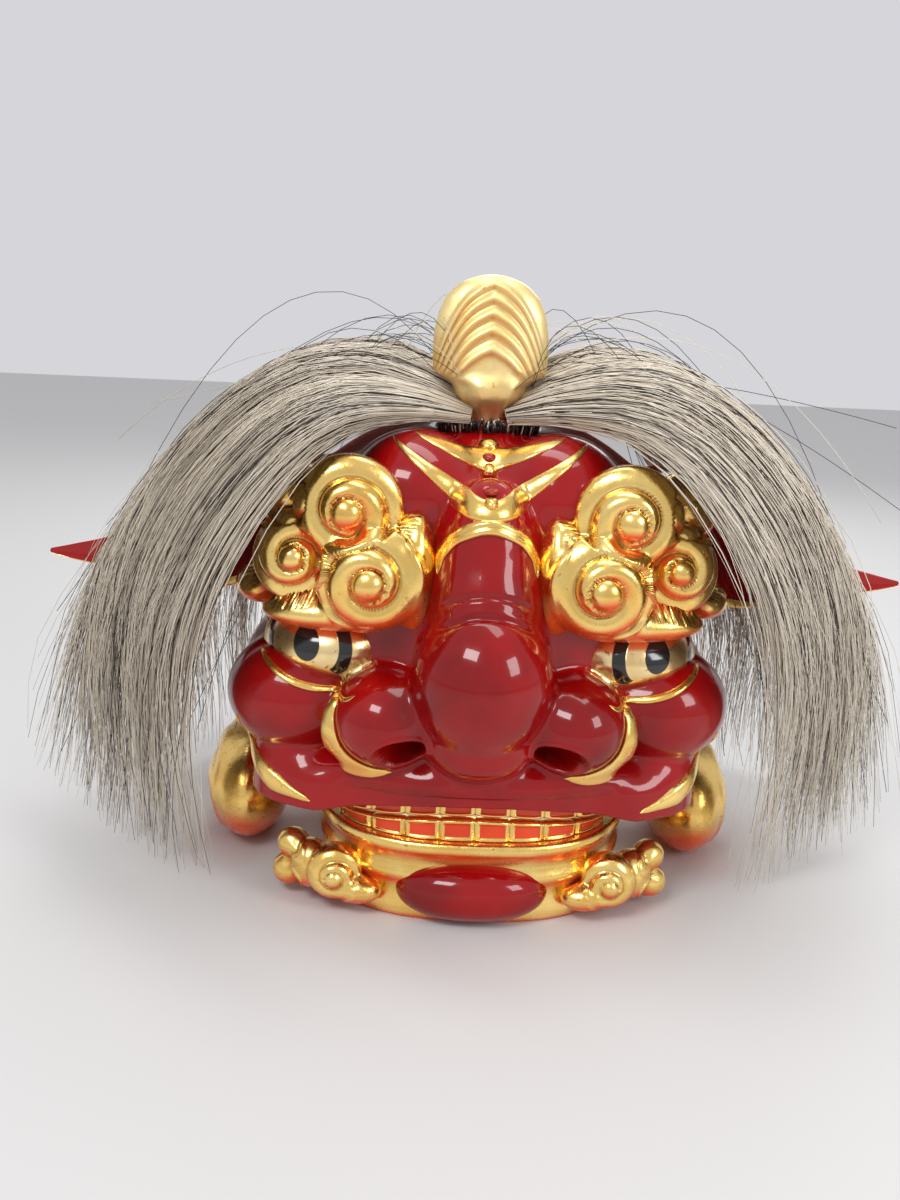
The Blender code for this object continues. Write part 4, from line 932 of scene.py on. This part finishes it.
def makeJaw():
    # the section carried along the route, each section point on its own inset route
    s = jawSettings
    rows = []
    for inset, height in smoothRoute(jawSection, 72):
        flat = jawRoute(np.clip(inset, 0, 1) * s["wall"], s["steps"])
        rows.append(np.column_stack([flat, np.full(len(flat), np.clip(height, 0, 1) * s["height"])]))
    grid = np.stack(rows, axis=1)
    points, quads, tris = closeGrid(grid, ringEnds(grid))
    putMesh("jawFrame", points, quads, tris, [goldLeaf], "jaw", ["jaw_frame"])


makeJaw()

chinSettings = {"halfWidth": 0.046, "height": 0.0375, "bulge": 0.0118, "sunk": 0.010, "lift": 0.0008,
                "powers": (0.82, 1.0, 0.80), "sag": 0.12, "sweep": 0.30, "sweepDepth": 0.012}


def makeChin():
    # a ball with each axis raised to its power, its top lowered by sag x^2, its ends swept back
    s = chinSettings
    ball, quads, tris = closeGrid(*ballGrid((0, 0, 0), np.array([1.0, 1.0, 1.0]), 60, 100))
    ball = np.sign(ball) * np.abs(ball)**np.array(s["powers"])
    sag = s["sag"] * ball[:, 0]**2
    across = ball[:, 0] * s["halfWidth"]
    ahead = -jawFront + s["sunk"] + ball[:, 1] * (s["bulge"] + s["sunk"])
    height = s["height"] / 2 + s["lift"] + (ball[:, 2] - sag * (ball[:, 2] > 0)) * s["height"] / 2
    points = np.stack([across, ahead, height], axis=1)
    points[:, 1] += s["sweep"] * (points[:, 0] / s["halfWidth"])**2 * s["sweepDepth"]
    putMesh("chinPlate", points, quads, tris, [redLacquer], "jaw", ["chin"])


makeChin()

scrollSettings = {"melt": 0.0012, "relief": 0.0020, "rings": 70, "spokes": 100, "heart": (0.93, -0.74, 0.44),
                  "clear": 0.0005}
# place and half size, in shares of the jaw's half width, reach and height
scrollLobes = ((0.83, 0.84, 0.47, 0.165, 0.13, 0.33), (0.68, 0.90, 0.30, 0.14, 0.09, 0.16),
               (1.10, 0.68, 0.66, 0.10, 0.09, 0.18), (1.12, 0.66, 0.30, 0.11, 0.10, 0.20),
               (0.98, 0.76, 0.48, 0.12, 0.12, 0.30))
# x and z as such shares, then radius, rings, turning way, start angle
scrollWhorls = ((0.83, 0.47, 0.0155, 1.9, 1, 0.5), (1.10, 0.68, 0.0085, 1.2, -1, 0.0),
                (1.12, 0.30, 0.0090, 1.2, 1, 2.0))


def makeScrolls():
    s = scrollSettings
    scale = np.array([jawSettings["halfWidth"], jawFront, jawSettings["height"]])
    lobes = [(np.array([x, -y, z]) * scale, np.array([a, b, c]) * scale)
             for x, y, z, a, b, c in scrollLobes]
    heart = np.array(s["heart"]) * scale
    field = lambda p: lobeField(p, lobes, s["melt"])
    angles = turnsOf(s["spokes"])
    tilts = np.linspace(0, np.pi, s["rings"] + 2)[1:-1]
    rays = starRays(angles[None, :], tilts[:, None])
    grid = heart + rays * reachOf(heart, rays, field, 0.06)[..., None]
    whorls = [(x * scale[0], z * scale[2], *rest) for x, z, *rest in scrollWhorls]
    normals = outwardNormals(grid, rays)
    front = smoothStep(-rays[..., 1], 0.0, 0.4)
    relief = whorlRelief(grid[..., 0], grid[..., 2], whorls, s["relief"])
    grid = grid + normals * (relief * front)[..., None]
    ends = (np.array([0, -1.0, 0]), np.array([0, 1.0, 0]))
    poles = np.stack([heart + ray * reachOf(heart, ray, field, 0.06) for ray in ends])
    for side, word in bothSides:
        points, quads, tris = closeGrid(grid * (side, 1, 1), poles * (side, 1, 1))
        points[:, 2] = np.maximum(points[:, 2], s["clear"])
        putMesh("jawScroll." + word, points, quads, tris, [goldLeaf], "jaw",
                ["jaw_scroll_" + word])
    print("jaw made")


makeScrolls()


# teeth

teethSettings = {"span": 0.084, "thick": 0.011, "back": 0.006, "count": 8, "tooth": 0.0115, "bite": 0.0010,
                 "frame": 0.0011}


def makeTeeth(name, edgeOf, seatOf, body, node, toward):
    # each front swells as |sin|^0.35 along the row, sinks inside a frame, and rounds at its edge
    s = teethSettings
    steps, rows = 26, 40
    count = s["count"] * steps + 1
    phase = (np.arange(count) % steps) / steps
    across = np.linspace(-1, 1, count) * s["span"]
    half, front = jawSettings["halfWidth"] - s["back"], jawFront - s["back"]
    power = jawSettings["power"]
    ahead = -front * (1 - (np.abs(across) / half)**power)**(1 / power)
    route = np.column_stack([across, ahead, np.zeros(count)])
    along = unit(np.gradient(route, axis=0))
    inward = np.stack([-along[:, 1], along[:, 0], np.zeros(count)], axis=1)
    inward *= np.sign(inward[:, 1:2])
    swell = np.abs(np.sin(np.pi * phase))**0.35
    panel = smoothStep(np.minimum(phase, 1 - phase), 0.10, 0.17)
    seat, edge = seatOf(across), edgeOf(across)
    v = np.arange(rows) / rows
    # the section: up the front for v to 0.5, over the edge, and down the back
    rise = np.interp(v, [0.0, 0.46, 0.50, 0.54, 1.0], [0.0, 0.93, 1.0, 0.93, 0.0])
    depth = np.interp(v, [0.0, 0.44, 0.48, 0.52, 0.56, 1.0],
                      [0.0, -0.0004, 0.0012, s["thick"] - 0.003, s["thick"] - 0.001, s["thick"]])
    inPanel = smoothStep(v, 0.03, 0.08) * smoothStep(0.40 - v, 0.0, 0.05)
    dent = 0.0022 * (1 - swell)[:, None] * (v < 0.55) + s["frame"] * panel[:, None] * inPanel
    level = seat[:, None] + (edge - seat)[:, None] * rise - toward * 0.0010 * (1 - swell)[:, None] * rise
    grid = route[:, None, :] + inward[:, None, :] * (depth + dent)[..., None]
    grid[..., 2] = level
    points, quads, tris = closeGrid(grid, ringEnds(grid))
    # the panels inside the frames get the painted red reflection
    redReflectionFaces = ((panel[:-1, None] > 0.5) & (inPanel > 0.5)).ravel()
    finish = np.concatenate([redReflectionFaces, np.zeros(len(tris))])
    putMesh(name, points, quads, tris, [goldLeaf, reflectedRedLacquer], body, [node], finish=finish)


def makeTeethRows():
    s = teethSettings
    bite = lambda across: rimHeight(across) - s["tooth"]
    makeTeeth("upperTeeth", bite, lambda across: rimHeight(across) - 0.0006, "head", "upper_teeth", -1)
    makeTeeth("lowerTeeth", lambda across: bite(across) - s["bite"],
              lambda across: np.full(across.shape, jawSettings["height"] + 0.0003), "jaw", "lower_teeth", 1)
    print("teeth made")


makeTeethRows()


# the mane

maneSettings = {"span": 0.290, "strands": 1880, "rearStrands": 960, "segments": 14, "radius": 0.00030,
                "depth": 0.0110, "give": 0.010, "locks": 22, "strays": 26, "bow": (0.012, 0.0, 0.010),
                "floor": 0.002, "lockRadius": 0.0026, "strayTop": 0.372, "darkShare": 0.20}
sheafRoutes = {
    "front": (((0.040, -0.20, 0.975), (0.150, -0.30, 0.985), (0.28, -0.58, 0.975), (0.39, -0.76, 0.900),
               (0.50, -0.82, 0.745), (0.58, -0.70, 0.550), (0.62, -0.52, 0.333), (0.63, -0.38, 0.120)),
              ((0.030, 0.22, 1.010), (0.130, 0.20, 1.075), (0.25, 0.16, 1.100), (0.42, 0.10, 1.055),
               (0.62, 0.06, 0.900), (0.80, 0.04, 0.680), (0.91, 0.03, 0.480), (0.96, 0.02, 0.300))),
    "rear": (((0.030, 0.26, 1.010), (0.130, 0.32, 1.070), (0.25, 0.42, 1.090), (0.42, 0.52, 1.045),
              (0.62, 0.60, 0.870), (0.78, 0.62, 0.640), (0.88, 0.62, 0.420), (0.91, 0.62, 0.240)),
             ((0.030, 0.86, 0.955), (0.130, 0.90, 1.000), (0.24, 0.97, 1.010), (0.37, 1.04, 0.945),
              (0.50, 1.09, 0.780), (0.57, 1.13, 0.560), (0.61, 1.15, 0.340), (0.60, 1.15, 0.140)))}


def tubeMesh(paths, radii, sides):
    # a small polygon carried along each path, its frame from the path's slope and one fixed way
    count, segments = paths.shape[:2]
    along = unit(np.gradient(paths, axis=1))
    first = unit(np.cross(along, np.array([0.31, 0.87, 0.38])))
    other = np.cross(along, first)
    turn = turnsOf(sides)
    ring = first[:, :, None] * np.cos(turn)[:, None] + other[:, :, None] * np.sin(turn)[:, None]
    points = paths[:, :, None] + ring * radii[:, :, None, None]
    base = (np.arange(count) * segments * sides)[:, None, None]
    row, column = np.arange(segments - 1)[:, None] * sides, np.arange(sides)
    after = (column + 1) % sides
    quads = np.stack([base + row + column, base + row + after, base + row + sides + after,
                      base + row + sides + column], axis=-1).reshape(-1, 4)
    k = np.arange(1, sides - 1)
    ends = []
    for offset, order in ((0, [0, 2, 1]), ((segments - 1) * sides, [0, 1, 2])):
        corner = base[:, 0] + offset
        cap = np.stack([np.broadcast_to(corner, (count, sides - 2)), corner + k, corner + k + 1], axis=-1)
        ends.append(cap.reshape(-1, 3)[:, order])
    return points.reshape(-1, 3), quads, np.concatenate(ends)


def sheafPaths(inner, outer, side, share, rise, t, wander):
    # point = inner(t) + (outer(t) - inner(t)) share, raised along the sheet's normal
    scale = np.array([maneSettings["span"], headSettings["headBack"], headSettings["crownHeight"]])
    rows = 60
    first = smoothRoute(np.array(inner) * scale, rows)
    other = smoothRoute(np.array(outer) * scale, rows)
    firstEnd, otherEnd = first[-1] - first[-3], other[-1] - other[-3]
    place = np.clip(t, 0, 1) * (rows - 1)
    beyond = np.maximum(t - 1, 0)[..., None] * (rows - 1) / 2
    low = np.clip(place.astype(int), 0, rows - 2)
    part = (place - low)[..., None]
    a = first[low] * (1 - part) + first[low + 1] * part + firstEnd * beyond
    b = other[low] * (1 - part) + other[low + 1] * part + otherEnd * beyond
    across = (share[:, None] + wander)[..., None]
    paths = a + (b - a) * across
    slope = np.gradient(paths, axis=1)
    normal = unit(np.cross(b - a, slope))
    normal *= np.where(normal[..., :1] + normal[..., 2:] > 0, 1.0, -1.0)
    bow = np.sin(np.pi * np.clip(across, 0, 1)) * np.sin(np.pi * np.clip(t, 0, 1))[..., None]
    paths = paths + bow * np.array(maneSettings["bow"]) + normal * rise[..., None]
    # past the span a strand bends down along the sheaf's side instead of standing out
    span, give = maneSettings["span"], maneSettings["give"]
    over = np.maximum(paths[..., 0] - span, 0)
    paths[..., 0] = np.minimum(paths[..., 0], span) + give * np.tanh(over / give)
    paths = paths * (side, 1, 1)
    paths[..., 2] = np.maximum(paths[..., 2], maneSettings["floor"])
    return paths


def strandShades(count):
    # one strand in five is dark, the rest pale with a spread of tone
    dark = rng.random(count) < maneSettings["darkShare"]
    return np.where(dark, rng.uniform(0.0, 0.12, count), rng.uniform(0.42, 1.0, count))


def makeSheaf(name, inner, outer, side, word, count):
    # strands in clumps, a third of them loose, that part and curl towards their tips
    s = maneSettings
    segments = s["segments"]
    clumps = rng.uniform(0, 1, 40)
    home = clumps[rng.integers(0, len(clumps), count)]
    share = np.clip(home + rng.normal(0, 0.035, count), -0.02, 1.03)
    loose = rng.random(count) < 0.35
    share = np.where(loose, rng.uniform(-0.04, 1.05, count), share)
    reach = rng.uniform(0.70, 1.12, count)
    reach = reach * np.where(rng.random(count) < 0.22, rng.uniform(0.55, 1.0, count), 1)
    t = np.linspace(0, 1, segments)[None, :] * reach[:, None]
    layer = rng.uniform(-0.6, 1.0, count)
    rise = s["depth"] * layer[:, None] * np.sin(np.pi * np.clip(t * 0.8 + 0.08, 0, 1))
    curl = rng.normal(0, 0.007, count)[:, None] * np.sin(t * rng.uniform(3, 8, count)[:, None]) * t
    rise = rise + curl
    tuft = (home - share)[:, None] * 0.55 * smoothStep(t, 0.45, 1.0)
    wander = rng.normal(0, 0.085, count)[:, None] * t**2 + tuft
    paths = sheafPaths(inner, outer, side, share, rise, t, wander)
    taper = 1 - 0.55 * np.linspace(0, 1, segments)**3
    radii = s["radius"] * rng.uniform(0.7, 1.25, count)[:, None] * taper
    points, quads, tris = tubeMesh(paths, radii, 3)
    shade = np.repeat(strandShades(count), segments * 3)
    putMesh(f"{name}Mane.{word}", points, quads, tris, [horseHair], "head",
            [f"mane_{name}_{word}"], shade=shade)


def makeLocks(name, inner, outer, side, word):
    # thick tapered locks under the strands, so that the mane has a body
    s = maneSettings
    count, segments, sides = s["locks"], 22, 8
    share = np.linspace(0.03, 0.97, count) + rng.normal(0, 0.008, count)
    t = np.linspace(0, 1, segments)[None, :] * rng.uniform(0.55, 0.80, count)[:, None]
    rise = rng.uniform(-0.006, 0.0005, count)[:, None] * np.ones(segments)
    wander = rng.normal(0, 0.02, count)[:, None] * t**2
    paths = sheafPaths(inner, outer, side, share, rise, t, wander)
    swell = np.sin(np.pi * np.clip(np.linspace(0.18, 1.0, segments), 0, 1))**0.6
    radii = s["lockRadius"] * rng.uniform(0.6, 1.2, count)[:, None] * np.maximum(swell, 0.06)
    points, quads, tris = tubeMesh(paths, radii, sides)
    shade = np.repeat(rng.uniform(0.42, 0.75, count), segments * sides)
    putMesh(f"{name}Locks.{word}", points, quads, tris, [horseHair], "head", [], shade=shade)


def makeStrays(side, word):
    # single hairs that leave the sheaves in wider arcs
    s = maneSettings
    count, segments = s["strays"], 16
    scale = np.array([s["span"], headSettings["headBack"], headSettings["crownHeight"]])
    start = np.stack([rng.uniform(0.03, 0.10, count), rng.uniform(-0.15, 0.30, count),
                      rng.uniform(1.03, 1.08, count)], axis=1)
    out = rng.uniform(0.45, 1.0, count)
    peak = np.stack([out * rng.uniform(0.35, 0.60, count), start[:, 1] * 0.8,
                     rng.uniform(1.06, 1.16, count)], axis=1)
    end = np.stack([out, rng.uniform(-0.2, 0.3, count), rng.uniform(0.15, 1.00, count)], axis=1)
    t = np.linspace(0, 1, segments)[None, :, None]
    paths = ((1 - t)**2 * start[:, None] + 2 * t * (1 - t) * (2 * peak - (start + end) / 2)[:, None] * 0.97
             + t**2 * end[:, None]) * scale
    paths = paths * (side, 1, 1)
    paths[..., 2] = np.clip(paths[..., 2], 0.003, s["strayTop"])
    radii = np.full((count, segments), s["radius"] * 0.8)
    points, quads, tris = tubeMesh(paths, radii, 3)
    shade = np.repeat(np.where(rng.random(count) < 0.75, 0.05, 0.7), segments * 3)
    putMesh("strayHairs." + word, points, quads, tris, [horseHair], "head", [], shade=shade)


def makeMane():
    for side, word in bothSides:
        for name, (inner, outer) in sheafRoutes.items():
            count = maneSettings["strands"] if name == "front" else maneSettings["rearStrands"]
            makeSheaf(name, inner, outer, side, word, count)
            makeLocks(name, inner, outer, side, word)
        makeStrays(side, word)
    print("mane combed")


makeMane()

rootSettings = {"half": 0.030, "count": 420, "length": 0.007, "radius": 0.0006, "segments": 5}


def makeHairRoot():
    # short dark stubs in a row under the crest
    s = rootSettings
    low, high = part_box("hair_root")
    count, segments = s["count"], s["segments"]
    across = rng.uniform(-s["half"], s["half"], count)
    rows = rng.uniform(low[1] - 0.001, high[1], count)
    base = np.stack([across, rows, np.full(count, low[2] - 0.001) + rng.uniform(0, 0.003, count)], axis=1)
    way = unit(np.stack([across * 6, np.full(count, -0.55) + rng.normal(0, 0.2, count),
                         np.full(count, 0.9)], axis=1))
    t = np.linspace(0, 1, segments)[None, :, None]
    paths = base[:, None] + way[:, None] * t * (s["length"] * rng.uniform(0.6, 1.2, count))[:, None, None]
    radii = np.full((count, segments), s["radius"])
    points, quads, tris = tubeMesh(paths, radii, 3)
    shade = np.repeat(np.where(rng.random(count) < 0.8, 0.04, 0.5), segments * 3)
    putMesh("hairRoots", points, quads, tris, [horseHair], "head", ["hair_root"], shade=shade)


makeHairRoot()


# carried-over solids, floor, lights and camera

for node, material in (("jaw_floor", mouthPaint), ("jaw_rod", plainWood)):
    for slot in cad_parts[node].material_slots:
        slot.material = material

stageSettings = {"floor": (0.60, 0.595, 0.585), "world": (0.96, 0.96, 1.0), "worldStrength": 0.70}


def makeStage():
    s = stageSettings
    mesh = bpy.data.meshes.new("floor")
    mesh.from_pydata([(-4, -4, 0), (4, -4, 0), (4, 4, 0), (-4, 4, 0)], [], [(0, 1, 2, 3)])
    floor = bpy.data.objects.new("floor", mesh)
    bpy.context.scene.collection.objects.link(floor)
    material = bpy.data.materials.new("paleFloor")
    material.use_nodes = True
    shader = material.node_tree.nodes["Principled BSDF"]
    shader.inputs["Base Color"].default_value = (*s["floor"], 1)
    shader.inputs["Roughness"].default_value = 0.6
    mesh.materials.append(material)
    world = bpy.data.worlds.new("studio")
    world.use_nodes = True
    world.node_tree.nodes["Background"].inputs["Color"].default_value = (*s["world"], 1)
    world.node_tree.nodes["Background"].inputs["Strength"].default_value = s["worldStrength"]
    bpy.context.scene.world = world
    bpy.context.scene.view_settings.view_transform = "Standard"


makeStage()

# name, place, width and height, power
lightSettings = (("key", (-0.75, -1.25, 1.55), (0.8, 0.5), 17.0),
                 ("fill", (1.15, -0.95, 0.85), (0.5, 0.6), 8.0),
                 ("top", (0.1, 0.1, 1.7), (1.3, 0.4), 8.0),
                 ("rear", (0.3, 1.4, 1.1), (1.2, 0.8), 8.0))


def makeLights():
    target = np.array([0.0, -0.02, 0.16])
    for name, place, (wide, tall), power in lightSettings:
        data = bpy.data.lights.new(name, "AREA")
        data.shape = "RECTANGLE"
        data.size, data.size_y, data.energy = wide, tall, power
        light = bpy.data.objects.new(name, data)
        light.location = place
        way = target - np.array(place)
        light.rotation_euler = (math.atan2(math.hypot(way[0], way[1]), -way[2]), 0,
                                math.atan2(way[1], way[0]) - math.pi / 2)
        bpy.context.scene.collection.objects.link(light)


makeLights()

cameraSettings = {"azimuth": -1.14, "elevation": 14.0, "roll": 2.51, "place": (-0.0339, -0.7784, 0.3665),
                  "focal": 1230 / 1200}


def makeCamera():
    s = cameraSettings
    azimuth, elevation, roll = (math.radians(s[key]) for key in ("azimuth", "elevation", "roll"))
    back = np.array([math.sin(azimuth) * math.cos(elevation),
                     -math.cos(azimuth) * math.cos(elevation), math.sin(elevation)])
    right = unit(np.cross(-back, (0, 0, 1)))
    up = np.cross(right, -back)
    x = math.cos(roll) * right + math.sin(roll) * up
    y = math.cos(roll) * up - math.sin(roll) * right
    data = bpy.data.cameras.new("camera")
    data.sensor_fit = "VERTICAL"
    data.sensor_height = 36
    data.lens = 36 * s["focal"]
    camera = bpy.data.objects.new("camera", data)
    matrix = Matrix.Identity(4)
    for column, way in enumerate((x, y, back)):
        for row in range(3):
            matrix[row][column] = way[row]
    for row in range(3):
        matrix[row][3] = s["place"][row]
    camera.matrix_world = matrix
    bpy.context.scene.collection.objects.link(camera)
    bpy.context.scene.camera = camera


makeCamera()

print("scene ready")
